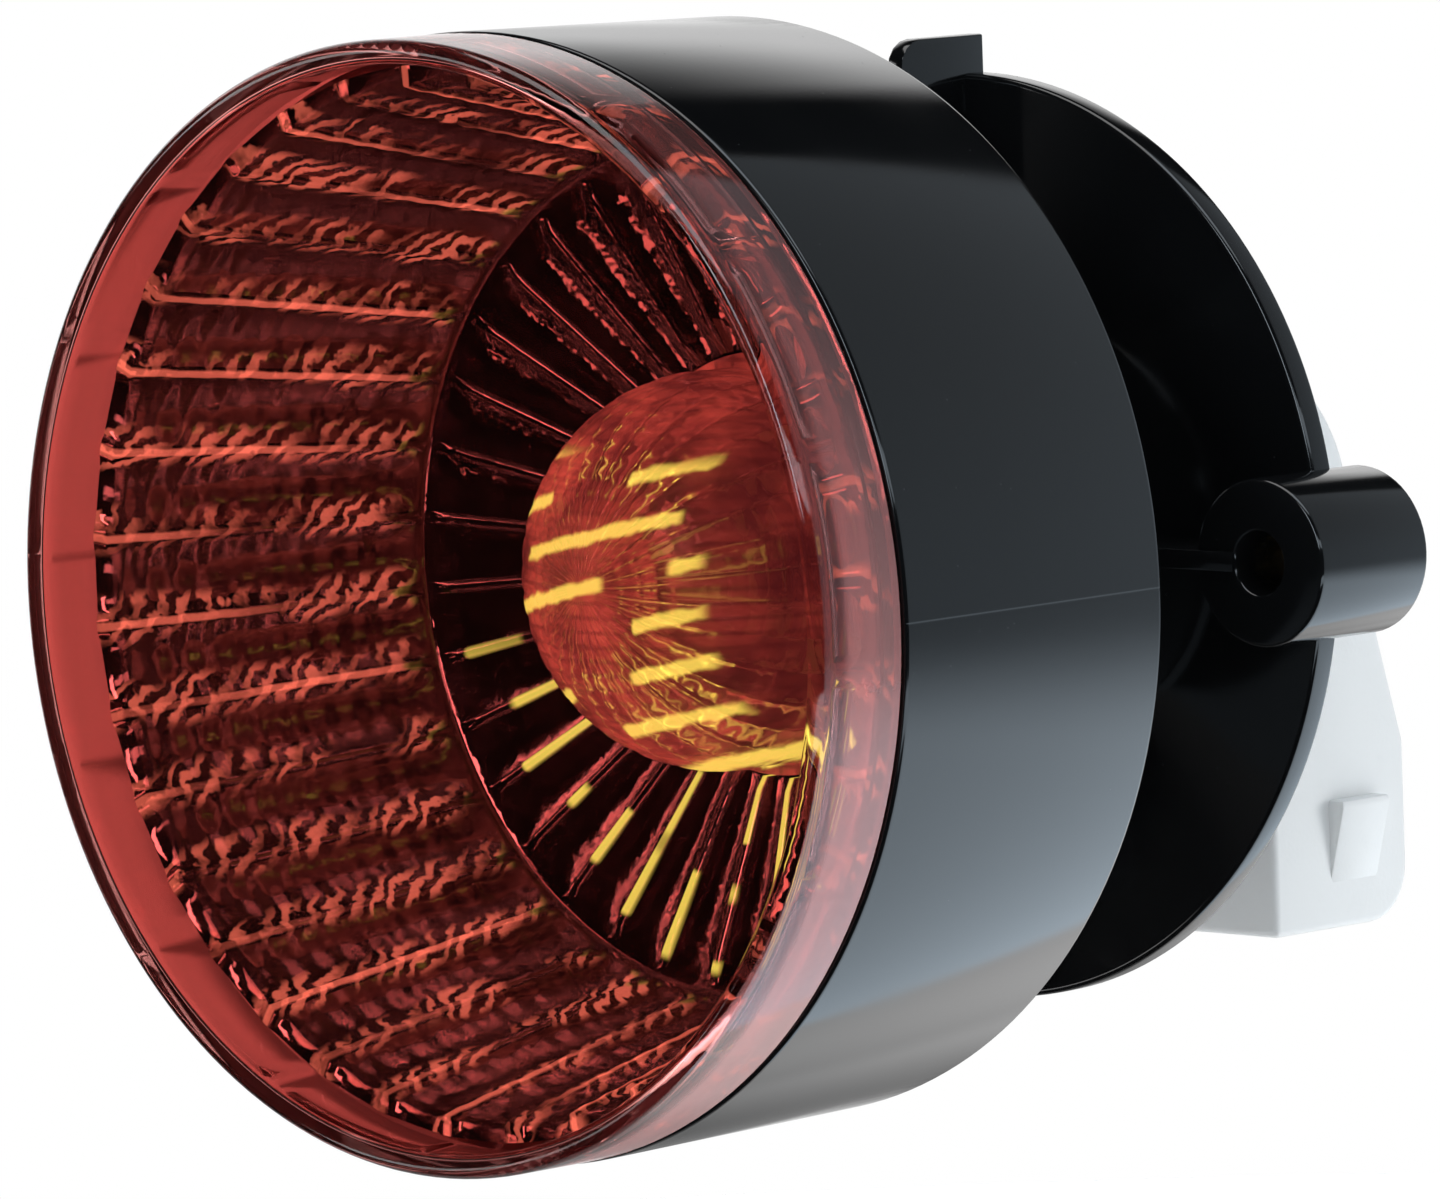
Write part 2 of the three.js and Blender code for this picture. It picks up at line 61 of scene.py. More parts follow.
MM = 0.001
TAU = 2 * math.pi
LENS_LOW, LENS_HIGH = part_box("lens")
HOUSING_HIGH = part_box("front_housing")[1]
HOLDER_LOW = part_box("holder_body")[0]
FLANGE_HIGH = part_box("rear_flange")[1]
BOSS_COUNT = 3
BOSS_PITCH = 41.4                 # millimetres from the lamp's axis to a boss's axis
OPTIC_RADIUS = 17.9               # millimetres, of the inner optic's dome
VENT_CENTRE = (0.0, -33.0)        # the vent pipe's axis, in millimetres
TERMINAL_PLACES = (-5.5, 0, 5.5)  # the terminals' middles across the holder, in millimetres
BLADE_HALF = 1.7                  # half the width of a terminal's slot, in millimetres
SEAM_ANGLES = (0.0, math.pi)      # the mould's parting lines, at 3 and 9 o'clock
FILLET_STEPS = 4
WELD = 1e-7                       # metres; closes the seams of a piece's own mesh
RING_WELD = 2e-6                  # metres; closes the seams between copies about the axis
POLE = 1e-6                       # millimetres; a smaller radius is a point on the axis
EASED_SHARP = 40                  # degrees, past which an edge stays sharp on a bevelled piece
WHITE = (1, 1, 1, 1)


# ---------------------------------------------------------------- node trees

class Wire:
    """One output of a node tree. Arithmetic on it adds Math nodes to the tree."""

    def __init__(self, tree, socket):
        self.tree = tree
        self.socket = socket

    def output(self, name):
        """Gives another output of the same node."""
        return Wire(self.tree, self.socket.node.outputs[name])

    def __add__(self, other):
        return self.tree.math("ADD", self, other)

    def __radd__(self, other):
        return self.tree.math("ADD", other, self)

    def __sub__(self, other):
        return self.tree.math("SUBTRACT", self, other)

    def __rsub__(self, other):
        return self.tree.math("SUBTRACT", other, self)

    def __mul__(self, other):
        return self.tree.math("MULTIPLY", self, other)

    def __rmul__(self, other):
        return self.tree.math("MULTIPLY", other, self)

    def __truediv__(self, other):
        return self.tree.math("DIVIDE", self, other)

    def __rtruediv__(self, other):
        return self.tree.math("DIVIDE", other, self)

    def __mod__(self, other):
        return self.tree.math("FLOORED_MODULO", self, other)

    def __abs__(self):
        return self.tree.math("ABSOLUTE", self)


class Tree:
    """Adds nodes to a shader or geometry node tree."""

    def __init__(self, node_tree):
        self.node_tree = node_tree
        node_tree.nodes.clear()

    def node(self, kind, settings=None, sockets=None, output=0):
        """Adds a node: its settings first, then the values or links of its sockets."""
        made = self.node_tree.nodes.new(kind)
        for key, value in (settings or {}).items():
            setattr(made, key, value)
        for key, value in (sockets or {}).items():
            if isinstance(value, Wire):
                self.node_tree.links.new(value.socket, made.inputs[key])
            else:
                made.inputs[key].default_value = value
        return Wire(self, made.outputs[output]) if made.outputs else made

    def math(self, operation, *values):
        return self.node("ShaderNodeMath", {"operation": operation}, dict(enumerate(values)))

    def fade(self, value, low, high, start=0.0, end=1.0):
        """Runs smoothly from start to end as the value goes from low to high."""
        if low > high:
            low, high, start, end = high, low, end, start
        return self.node("ShaderNodeMapRange", {"interpolation_type": "SMOOTHSTEP"},
                         {"Value": value, "From Min": low, "From Max": high,
                          "To Min": start, "To Max": end})

    def axes(self, vector):
        """Splits a vector into its three numbers."""
        first = self.node("ShaderNodeSeparateXYZ", sockets={"Vector": vector})
        return first, first.output("Y"), first.output("Z")

    def soft_box(self, across, half_width, above, half_height, edge, brightness):
        """A soft-edged bright rectangle about the place where across and above are both 0."""
        lit = self.fade(abs(across), half_width, half_width - edge)
        return lit * self.fade(abs(above), half_height, half_height - edge) * brightness

    def blend(self, factor, first, second):
        """Mixes two colours. The Mix node's colour sockets share their names with its others."""
        return self.node("ShaderNodeMix", {"data_type": "RGBA"}, {0: factor, 6: first, 7: second}, 2)

    def scaled(self, colour, amount):
        """Makes a colour so many times as bright."""
        return self.node("ShaderNodeVectorMath", {"operation": "SCALE"},
                         {"Vector": colour, "Scale": amount})


def opaque(colour, brightness=1.0):
    """Gives a colour its fourth number, made so many times as bright."""
    return tuple(part * brightness for part in colour) + (1.0,)


class Finish(Tree):
    """A procedural material, patterned in the piece's own coordinates."""

    def __init__(self, name):
        self.material = bpy.data.materials.new(name)
        self.material.use_nodes = True
        super().__init__(self.material.node_tree)
        self.place = self.node("ShaderNodeTexCoord", output="Object")

    def noise(self, scale, detail=2.0, roughness=0.5, stretch=(1.0, 1.0, 1.0)):
        """Cloudy noise between 0 and 1; scale counts its features in a metre."""
        placed = self.node("ShaderNodeMapping", sockets={"Vector": self.place, "Scale": stretch})
        return self.node("ShaderNodeTexNoise", sockets={
            "Vector": placed, "Scale": scale, "Detail": detail, "Roughness": roughness})

    def patches(self, along, row, shift):
        """Uneven patches along a row, between 0 and 1; each row has its own."""
        place = self.node("ShaderNodeCombineXYZ", sockets={"X": along, "Y": row * shift})
        return self.node("ShaderNodeTexNoise", sockets={"Vector": place, "Scale": 1.0, "Detail": 0.0})

    def from_axis(self, *sides):
        """The length of a line from its sides."""
        return self.math("SQRT", sum((side * side for side in sides[1:]), sides[0] * sides[0]))

    def unreflected(self):
        """1 where an emission is seen straight or through glass, and 0 where a mirror shows it."""
        bounces = self.node("ShaderNodeLightPath", output="Glossy Depth")
        return 1 - self.math("MINIMUM", bounces, 1.0)

    def specks(self, scale, size):
        """Small round specks of dust: 1 inside them and 0 between them."""
        cells = self.node("ShaderNodeTexVoronoi", sockets={"Vector": self.place, "Scale": scale})
        lucky = self.fade(self.axes(cells.output("Color"))[0], 0.86, 0.9)
        return self.fade(cells, size, size * 0.4) * lucky

    def shade(self, sockets, height=None, distance=0.0001, strength=0.5):
        """Ends the material in a Principled shader, with a bump from the height if there is one."""
        if height is not None:
            sockets = dict(sockets, Normal=self.node("ShaderNodeBump", sockets={
                "Strength": strength, "Distance": distance, "Height": height}))
        return self.end(self.surface(sockets))

    def surface(self, sockets):
        return self.node("ShaderNodeBsdfPrincipled", sockets=sockets)

    def end(self, surface):
        self.node("ShaderNodeOutputMaterial", sockets={"Surface": surface})
        return self.material


def lens_plastic(tint, frost, amount):
    """Clear red plastic, with a fine matt texture moulded inside the side wall; its density paints light low
    and shade high on the +X side.
    """
    finish = Finish("lens_plastic")
    rim = LENS_HIGH.x
    smudge = finish.noise(55, 3)
    x, y, z = finish.axes(finish.place)
    radius = finish.from_axis(x, z)
    side = finish.fade(radius, rim - 3.2 * MM, rim - 2.6 * MM)
    side = side * finish.fade(y, depth(2.6), depth(4.2))
    # painted light and shade: on the +X side the matt texture is denser low down, so the wall looks lighter
    # there, and thinner high up, so it looks darker there
    painted_light_low_right = finish.fade(z, 35 * MM, -25 * MM, -0.65, 1.0) * finish.fade(x, 0.0, 20 * MM) + 1
    grain = finish.noise(1500, 3)
    clear = finish.surface({
        "Base Color": opaque(tint), "Transmission Weight": 1.0, "IOR": 1.49,
        "Roughness": finish.fade(smudge, 0.55, 0.8, 0.0, 0.035)})
    matt = finish.surface({
        "Base Color": finish.blend(grain, opaque(frost), opaque(frost, 0.8)),
        "Roughness": 0.35, "IOR": 1.49})
    return finish.end(finish.node("ShaderNodeMixShader", sockets={
        0: side * (amount + grain * 0.05) * painted_light_low_right, 1: clear, 2: matt}))


def metallised_plastic(glow, brightness, flutes):
    """Dull bright metallised plastic, with painted highlights of the bulb's light on its ribs.

    On the cone the crests of the lower ribs carry painted glints as emitted streaky lines, and on the fluted
    wall painted highlights lie in slanting rippled bands beside each crest; mirrors don't show them.
    """
    finish = Finish("metallised_plastic")
    painted_glint_length, wave_length = 7 * MM, 2.6 * MM
    cone_edge, wall_start = 37 * MM, 38.4 * MM
    # colour and brightness of the painted highlights on the wall
    painted_wall_colour, painted_highlight_brightness = (0.70, 0.33, 0.22), 1.05
    mist = finish.noise(260, 4)
    ripple = finish.noise(420, 2, stretch=(1.0, 0.6, 1.0))
    x, y, z = finish.axes(finish.place)
    radius = finish.from_axis(x, z)
    turns = finish.math("ARCTAN2", z, x) * flutes / TAU
    rib = finish.math("FLOOR", turns)
    beside = turns - rib - 0.5
    crest = finish.fade(abs(beside), 0.11, 0.05)
    patches = finish.patches(radius / painted_glint_length, rib, 5.17)
    # painted glints: streaky lines of the bulb's light along the crests of the cone's lower ribs
    below = finish.fade(z, -3 * MM, -14 * MM) * finish.fade(radius, cone_edge, cone_edge - 1 * MM)
    painted_rib_glints = finish.fade(patches, 0.46, 0.5) * crest * below * brightness
    # painted highlights: slanting wavy bands and broken lines beside each crest of the fluted wall
    swirl = finish.noise(150, 4, 0.6)
    spread = finish.noise(75, 2)
    phase = (y / wave_length + beside * 3.2 + swirl * 4.5) % 1
    painted_highlight_waves = finish.fade(abs(phase - 0.5), 0.2, 0.36)
    near = finish.fade(abs(beside + 0.08) - spread * 0.5, 0.04, -0.12) * finish.fade(swirl, 0.38, 0.62)
    edge = finish.fade(abs(beside + swirl * 0.1 - 0.05), 0.06, 0.03) * finish.fade(patches, 0.42, 0.6)
    wall = finish.fade(radius, wall_start, wall_start + 0.4 * MM)
    painted_wall_highlights = (painted_highlight_waves * near + edge * 0.9) * wall
    # painted light: the emission stands for glints and highlights of the bulb's light, and is off where a
    # mirror shows it
    light = finish.blend(wall, opaque(glow), opaque(painted_wall_colour))
    strength = (painted_rib_glints + painted_wall_highlights * painted_highlight_brightness) * finish.unreflected()
    return finish.shade({
        "Base Color": finish.blend(mist, (0.50, 0.49, 0.48, 1), (0.64, 0.63, 0.62, 1)),
        "Metallic": 1.0, "Roughness": finish.fade(mist, 0.35, 0.75, 0.05, 0.14),
        "Emission Color": finish.scaled(light, strength), "Emission Strength": 1.0},
        ripple, distance=0.0003, strength=0.4)


def glowing_optic(glow, brightness):
    """Clear plastic with painted light: its ribs emit slanting rows of bright dashes, painted glints of the
    bulb's light, over a dim painted glow.
    """
    finish = Finish("clear_optic_plastic")
    radius = OPTIC_RADIUS * MM
    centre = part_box("inner_optic")[0].y + radius
    row_pitch, slant = 0.245 * radius, 0.22
    prism_height, prism_width = 1.3 * MM, 2.1 * MM
    # colours of the dim painted glow, dark to pale, and of the painted glow that mirrors show
    painted_glow_dark, painted_glow_pale, painted_mirrored_glow = (0.03, 0.006, 0.009), (0.36, 0.10, 0.075), (0.45, 0.16, 0.10)
    x, y, z = finish.axes(finish.place)
    # painted dashes: slanting rows of the bulb's glints, in patches, on the dome's outer skin, except at its
    # top and its +X edge
    rows = (z - x * slant) / row_pitch + 0.5
    row = finish.math("FLOOR", rows)
    across = abs(rows - row - 0.5)
    patches = finish.patches(x / radius * 1.9, row, 7.31)
    wobble = finish.noise(500, 2)
    painted_dash = finish.fade(across + (wobble - 0.5) * 0.2, 0.19, 0.07)
    facing = finish.fade(z, radius * 0.68, radius * 0.55) * finish.fade(x, radius * 0.66, radius * 0.58)
    out = finish.from_axis(x, z, y - centre)
    outside = finish.fade(out, radius - 1.2 * MM, radius - 0.9 * MM)
    lit = finish.fade(patches, 0.44, 0.48) * painted_dash * facing * outside
    haze = finish.noise(170, 3)
    # dim painted glow over the whole dome, patterned by its prisms and fading towards +X
    painted_prism_grid = finish.fade(abs(z / prism_height % 1 - 0.5), 0.4, 0.3)
    painted_prism_grid = painted_prism_grid * finish.fade(abs((x - y) / prism_width % 1 - 0.5), 0.44, 0.36)
    painted_glimmer = finish.fade(haze, 0.3, 0.75) * finish.fade(x, radius * -0.2, radius * 0.7, 1.0, 0.3)
    painted_dim_glow = finish.blend(painted_glimmer * (painted_prism_grid * 0.6 + 0.4), opaque(painted_glow_dark), opaque(painted_glow_pale))
    # mirrors show the painted glow dimmer and in a warm colour
    straight = finish.unreflected()
    light = finish.blend(straight, opaque(painted_mirrored_glow), opaque(glow, brightness))
    return finish.shade({
        "Base Color": (0.96, 0.93, 0.88, 1), "Transmission Weight": 0.92, "IOR": 1.5,
        "Roughness": finish.fade(haze, 0.3, 0.8, 0.04, 0.2),
        "Emission Color": finish.scaled(finish.blend(lit, painted_dim_glow, light), straight * 0.8 + 0.2),
        "Emission Strength": 1.0}, wobble, distance=0.00008, strength=0.4)


def black_gloss(colour):
    """Injection-moulded black plastic with a gloss that clouds slightly, faint flow lines and dust."""
    finish = Finish("black_gloss_plastic")
    clouds = finish.noise(70, 4)
    grain = finish.noise(2600, 3)
    flow = finish.noise(120, 2, stretch=(1.0, 0.12, 1.0))
    dust = finish.specks(900, 0.09)
    rough = finish.fade(clouds, 0.3, 0.75, 0.07, 0.13) + dust * 0.3
    return finish.shade({
        "Base Color": finish.blend(dust * 0.5 + clouds * 0.04, opaque(colour), (0.05, 0.05, 0.052, 1)),
        "Roughness": rough, "IOR": 1.5}, flow * 0.7 + grain * 0.06, distance=0.00012, strength=0.22)


def white_plastic(colour):
    """Moulded white plastic with a fine grain and a little grime."""
    finish = Finish("white_plastic")
    clouds = finish.noise(60, 4)
    grain = finish.noise(2200, 4)
    grime = finish.fade(finish.noise(190, 5), 0.58, 0.78)
    return finish.shade({
        "Base Color": finish.blend(grime * 0.35 + clouds * 0.25, opaque(colour), opaque(colour, 0.9)),
        "Roughness": finish.fade(clouds, 0.3, 0.7, 0.38, 0.52), "IOR": 1.48},
        grain, distance=0.00006, strength=0.3)


def rubber():
    """Dark rubber with a pale bloom."""
    finish = Finish("seal_rubber")
    grain = finish.noise(3000, 3)
    bloom = finish.noise(150, 4)
    return finish.shade({
        "Base Color": finish.blend(bloom, (0.012, 0.012, 0.013, 1), (0.035, 0.034, 0.034, 1)),
        "Roughness": finish.fade(bloom, 0.3, 0.7, 0.55, 0.8)}, grain, distance=0.0001, strength=0.4)


def metal(name, colour, tarnish, rough=(0.18, 0.34)):
    """Brushed metal with stains of tarnish."""
    finish = Finish(name)
    stain = finish.noise(240, 5)
    brushed = finish.noise(900, 3, stretch=(1.0, 8.0, 1.0))
    return finish.shade({
        "Base Color": finish.blend(finish.fade(stain, 0.45, 0.75), opaque(colour), opaque(tarnish)),
        "Metallic": 1.0, "Roughness": finish.fade(brushed, 0.25, 0.75, *rough)},
        brushed, distance=0.00004, strength=0.3)


def clear_glass():
    """The bulb's glass, with a thin film of smoke."""
    finish = Finish("bulb_glass")
    smoke = finish.noise(140, 4)
    return finish.shade({
        "Base Color": finish.blend(smoke, WHITE, (0.93, 0.92, 0.9, 1)),
        "Transmission Weight": 1.0, "IOR": 1.47,
        "Roughness": finish.fade(smoke, 0.4, 0.8, 0.0, 0.03)})


def glowing_wire(glow, brightness):
    """A filament's hot wire, dimmer in places along its coil."""
    finish = Finish("filament_wire")
    coil = finish.noise(4000, 1)
    return finish.shade({
        "Base Color": (0.5, 0.48, 0.45, 1), "Metallic": 1.0, "Roughness": 0.4,
        "Emission Color": finish.blend(coil, opaque(glow, brightness * 0.5), opaque(glow, brightness)),
        "Emission Strength": 1.0})


# ---------------------------------------------------------------- meshes

def depth(millimetres):
    """The Y of a place that lies so many millimetres behind the front of the lens."""
    return LENS_LOW.y + millimetres * MM


def filleted(corners, steps=FILLET_STEPS):
    """Rounds a closed outline's corners; each is (u, v) or (u, v, radius)."""
    outline = []
    for index, corner in enumerate(corners):
        here = Vector(corner[:2])
        if len(corner) == 2:
            outline.append(tuple(here))
            continue
        back = Vector(corners[index - 1][:2]) - here
        ahead = Vector(corners[(index + 1) % len(corners)][:2]) - here
        half = back.angle(ahead) / 2
        reach = min(corner[2] / math.tan(half), 0.49 * back.length, 0.49 * ahead.length)
        start = here + back.normalized() * reach
        end = here + ahead.normalized() * reach
        for step in range(steps + 1):
            t = step / steps
            parts = ((1 - t) ** 2, 2 * math.sin(half) * t * (1 - t), t ** 2)
            outline.append(tuple((start * parts[0] + here * parts[1] + end * parts[2]) / sum(parts)))
    return outline


def even_angles(steps):
    return [TAU * step / steps for step in range(steps)]


def apart(first, second):
    """The angle between two directions about the axis."""
    return abs((first - second + math.pi) % TAU - math.pi)


def with_seams(angles, seams, half_width):
    """Adds close angles on both sides of each seam, so that a seam there stays narrow."""
    extra = [seam + side * half_width for seam in seams for side in (-2, -1, 0, 1, 2)]
    kept = [angle for angle in angles if all(apart(angle, seam) > 3 * half_width for seam in seams)]
    return sorted(angle % TAU for angle in kept + extra)


def turn(mesh, profile, angles, warp=None, centre=(0.0, 0.0)):
    """Adds a closed solid of revolution about Y. The profile is a closed outline of (radius, depth)."""
    rings = []
    for radius, place in profile:
        if radius < POLE:
            rings.append([mesh.verts.new((centre[0] * MM, depth(place), centre[1] * MM))])
            continue
        ring = []
        for angle in angles:
            r, d = warp(radius, place, angle) if warp else (radius, place)
            ring.append(mesh.verts.new((
                (centre[0] + r * math.cos(angle)) * MM, depth(d), (centre[1] + r * math.sin(angle)) * MM)))
        rings.append(ring)
    for index, ring in enumerate(rings):
        join_rings(mesh, ring, rings[(index + 1) % len(rings)], closed=True)


def join_rings(mesh, first, second, closed):
    """Fills the band between two rings of vertices; a ring of one vertex is a pole."""
    count = max(len(first), len(second))
    if count == 1:
        return
    for index in range(count if closed else count - 1):
        following = (index + 1) % count
        corners = [first[index % len(first)], first[following % len(first)],
                   second[following % len(second)], second[index % len(second)]]
        distinct = [corner for place, corner in enumerate(corners) if corner not in corners[:place]]
        if len(distinct) > 2:
            mesh.faces.new(distinct)


def tube(mesh, rings):
    """Joins rings of vertices into a tube with closed ends."""
    for first, second in zip(rings, rings[1:]):
        join_rings(mesh, first, second, closed=True)
    mesh.faces.new(rings[0])
    mesh.faces.new(rings[-1])


def extrude(mesh, outline, span, place):
    """Adds a prism over a closed outline; place(u, v, w) gives a corner in metres."""
    tube(mesh, [[mesh.verts.new(place(u, v, w)) for u, v in outline] for w in span])


def upright(u, v, w):
    """An outline of (depth, height), extruded sideways."""
    return (w * MM, depth(u), v * MM)


def facing(u, v, w):
    """An outline of (x, height), extruded in depth."""
    return (u * MM, depth(w), v * MM)


def block(mesh, low, high):
    """Adds a box between two corners given as (x, depth, height)."""
    outline = [(low[1], low[2]), (high[1], low[2]), (high[1], high[2]), (low[1], high[2])]
    extrude(mesh, outline, (low[0], high[0]), upright)


def wedge(mesh, inner, outer, half_angle, front, rear, middle=0.0):
    """Adds a piece of a ring, in degrees about a middle angle."""
    steps = 8
    angles = [math.radians(middle + half_angle * (2 * step / steps - 1)) for step in range(steps + 1)]
    outline = [(outer * math.cos(a), outer * math.sin(a)) for a in angles]
    outline += [(inner * math.cos(a), inner * math.sin(a)) for a in reversed(angles)]
    extrude(mesh, outline, (front, rear), facing)


def close_mesh(mesh, data, weld, sharp):
    """Welds a mesh, turns its faces outwards and shades it smooth up to a sharp angle in degrees."""
    bmesh.ops.remove_doubles(mesh, verts=mesh.verts, dist=weld)
    bmesh.ops.recalc_face_normals(mesh, faces=mesh.faces)
    mesh.to_mesh(data)
    mesh.free()
    data.shade_smooth()
    data.set_sharp_from_angle(angle=math.radians(sharp))


def to_object(name, mesh, sharp=35.0):
    """Closes a mesh and puts it in the scene."""
    data = bpy.data.meshes.new(name)
    close_mesh(mesh, data, WELD, sharp)
    made = bpy.data.objects.new(name, data)
    bpy.context.scene.collection.objects.link(made)
    return made


def settled(piece):
    """Turns a piece's modifiers into plain mesh and takes them off."""
    evaluated = piece.evaluated_get(bpy.context.evaluated_depsgraph_get())
    baked = bpy.data.meshes.new_from_object(evaluated)
    baked.name = piece.name
    piece.modifiers.clear()
    piece.data = baked
    return piece


def carved(piece, cutter):
    """Cuts a mesh's solids out of a piece."""
    tool = to_object("cutter", cutter)
    cut = piece.modifiers.new("cut", "BOOLEAN")
    cut.operation = "DIFFERENCE"
    cut.solver = "EXACT"
    cut.object = tool
    settled(piece)
    bpy.data.objects.remove(tool)
    return piece


def eased(piece, width, segments=2):
    """Rounds a piece's sharp edges."""
    bevel = piece.modifiers.new("ease", "BEVEL")
    bevel.width = width * MM
    bevel.segments = segments
    bevel.limit_method = "ANGLE"
    bevel.angle_limit = math.radians(30)
    bevel.harden_normals = False
    settled(piece)
    piece.data.shade_smooth()
    piece.data.set_sharp_from_angle(angle=math.radians(EASED_SHARP))
    return piece


def joined(piece, *others):
    """Moves the other objects' faces into a piece's mesh."""
    mesh = bmesh.new()
    for source in (piece, *others):
        mesh.from_mesh(source.data)
    mesh.to_mesh(piece.data)
    mesh.free()
    for other in others:
        bpy.data.objects.remove(other)
    return piece


def finished(piece, slot, body, *nodes):
    """Gives a piece the finish named by slot, puts it on its body and hides the CAD nodes that it stands in
    for.
    """
    piece.data.materials.clear()
    piece.data.materials.append(finish_of(slot))
    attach(piece, body)
    if nodes:
        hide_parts(*nodes)
    return piece


# ---------------------------------------------------------------- geometry nodes

def geometry_tree(name, inputs):
    """Starts a geometry node tree with named inputs, each a (name, socket type, default)."""
    group = bpy.data.node_groups.new(name, "GeometryNodeTree")
    group.interface.new_socket("Geometry", in_out="INPUT", socket_type="NodeSocketGeometry")
    group.interface.new_socket("Geometry", in_out="OUTPUT", socket_type="NodeSocketGeometry")
    for label, kind, default in inputs:
        socket = group.interface.new_socket(label, in_out="INPUT", socket_type=kind)
        if default is not None:
            socket.default_value = default
    tree = Tree(group)
    return tree, tree.node("NodeGroupInput")


def grown(piece, tree, values):
    """Runs a piece through a geometry tree with the given input values, and keeps the result."""
    modifier = piece.modifiers.new(tree.node_tree.name, "NODES")
    modifier.node_group = tree.node_tree
    for item in tree.node_tree.interface.items_tree:
        if item.in_out == "INPUT" and item.name in values:
            modifier[item.identifier] = values[item.name]
    return settled(piece)


def end_tree(tree, geometry, entry):
    """Ends a geometry tree in Realize Instances and Set Material."""
    plain = tree.node("GeometryNodeRealizeInstances", sockets={"Geometry": geometry})
    dressed = tree.node("GeometryNodeSetMaterial", sockets={
        "Geometry": plain, "Material": entry.output("Material")})
    tree.node("NodeGroupOutput", sockets={"Geometry": dressed})


def ring_tree():
    """Repeats the piece's own mesh around the lamp's axis."""
    tree, entry = geometry_tree("ring_about_axis", [
        ("Count", "NodeSocketInt", 3), ("Step", "NodeSocketFloat", 0.0),
        ("Weld", "NodeSocketFloat", 0.0), ("Material", "NodeSocketMaterial", None)])
    points = tree.node("GeometryNodeMeshLine", {"mode": "OFFSET"}, {
        "Count": entry.output("Count"), "Offset": (0.0, 0.0, 0.0)})
    turns = tree.node("GeometryNodeInputIndex") * entry.output("Step")
    rotation = tree.node("ShaderNodeCombineXYZ", sockets={"Y": turns})
    copies = tree.node("GeometryNodeInstanceOnPoints", sockets={
        "Points": points, "Instance": entry, "Rotation": rotation})
    loose = tree.node("GeometryNodeRealizeInstances", sockets={"Geometry": copies})
    welded = tree.node("GeometryNodeMergeByDistance", sockets={
        "Geometry": loose, "Distance": entry.output("Weld")})
    end_tree(tree, welded, entry)
    return tree


def coil_tree():
    """Winds a wire into a coil along X and joins it to the piece's own mesh."""
    tree, entry = geometry_tree("wound_coil", [
        ("Turns", "NodeSocketFloat", 12.0), ("Coil Radius", "NodeSocketFloat", 0.0005),
        ("Length", "NodeSocketFloat", 0.005), ("Wire Radius", "NodeSocketFloat", 0.0001),
        ("Centre", "NodeSocketVector", None), ("Material", "NodeSocketMaterial", None)])
    spiral = tree.node("GeometryNodeCurveSpiral", sockets={
        "Resolution": 10, "Rotations": entry.output("Turns"),
        "Start Radius": entry.output("Coil Radius"), "End Radius": entry.output("Coil Radius"),
        "Height": entry.output("Length")})
    section = tree.node("GeometryNodeCurvePrimitiveCircle", sockets={
        "Resolution": 6, "Radius": entry.output("Wire Radius")})
    wound = tree.node("GeometryNodeCurveToMesh", sockets={
        "Curve": spiral, "Profile Curve": section, "Fill Caps": True})
    middle = tree.node("ShaderNodeCombineXYZ", sockets={
        "Z": entry.output("Length") * -0.5})
    centred = tree.node("GeometryNodeTransform", sockets={"Geometry": wound, "Translation": middle})
    laid = tree.node("GeometryNodeTransform", sockets={
        "Geometry": centred, "Rotation": (0.0, math.pi / 2, 0.0), "Translation": entry.output("Centre")})
    whole = tree.node("GeometryNodeJoinGeometry", sockets={"Geometry": laid})
    tree.node_tree.links.new(entry.socket, whole.socket.node.inputs[0])
    end_tree(tree, whole, entry)
    return tree


def ringed(piece, count, slot, weld=0.0):
    """Repeats a piece evenly about the axis."""
    return grown(piece, ring(), {
        "Count": count, "Step": TAU / count, "Weld": weld, "Material": finish_of(slot)})


def reclosed(piece, sharp=35.0):
    """Closes a piece's mesh again, after its parts were copied or joined."""
    mesh = bmesh.new()
    mesh.from_mesh(piece.data)
    close_mesh(mesh, piece.data, RING_WELD, sharp)
    return piece


def fluted_sector(rows, count, rib_half, stations):
    """One flute of a fluted turned shape, to be repeated about the axis.

    A row is (radius, depth, shape), and shape(channel, rib) gives how far to shift the point in
    radius and depth. channel runs 0 to 1 from the flute's middle to its edge, and rib 0 to 1
    from there to the rib's crest.
    """
    mesh = bmesh.new()
    rings = []
    for radius, place, shape in rows:
        if radius < POLE:
            rings.append([mesh.verts.new((0.0, depth(place), 0.0))])
            continue
        pitch_half = math.pi * radius / count
        rib = min(rib_half, 0.4 * pitch_half)
        ring = []
        for side, channel, crest in stations:
            offset = side * ((pitch_half - rib) * channel + rib * crest)
            dr, dd = shape(channel, crest)
            angle = offset / radius
            reach = (radius + dr) * MM
            ring.append(mesh.verts.new((
                reach * math.cos(angle), depth(place + dd), reach * math.sin(angle))))
        rings.append(ring)
    for index, ring in enumerate(rings):
        join_rings(mesh, ring, rings[(index + 1) % len(rings)], closed=False)
    return mesh


def still(channel, rib):
    """Leaves a row of a fluted sector round and flat."""
    return 0.0, 0.0


# across one flute, from rib crest to rib crest: (side, channel, rib) as fluted_sector takes them
FLUTE_STATIONS = [(-1, 1.0, crest) for crest in (1.0, 0.7, 0.45, 0.22, 0.06)]
FLUTE_STATIONS += [(-1, channel, 0.0) for channel in (1.0, 0.9, 0.72, 0.5, 0.25)]
FLUTE_STATIONS += [(1, 0.0, 0.0)]
FLUTE_STATIONS += [(-side, channel, crest) for side, channel, crest in reversed(FLUTE_STATIONS[:-1])]


# ---------------------------------------------------------------- settings

def length(name, description, default):
    return FloatProperty(name=name, description=description, default=default,
                         unit="LENGTH", subtype="DISTANCE")


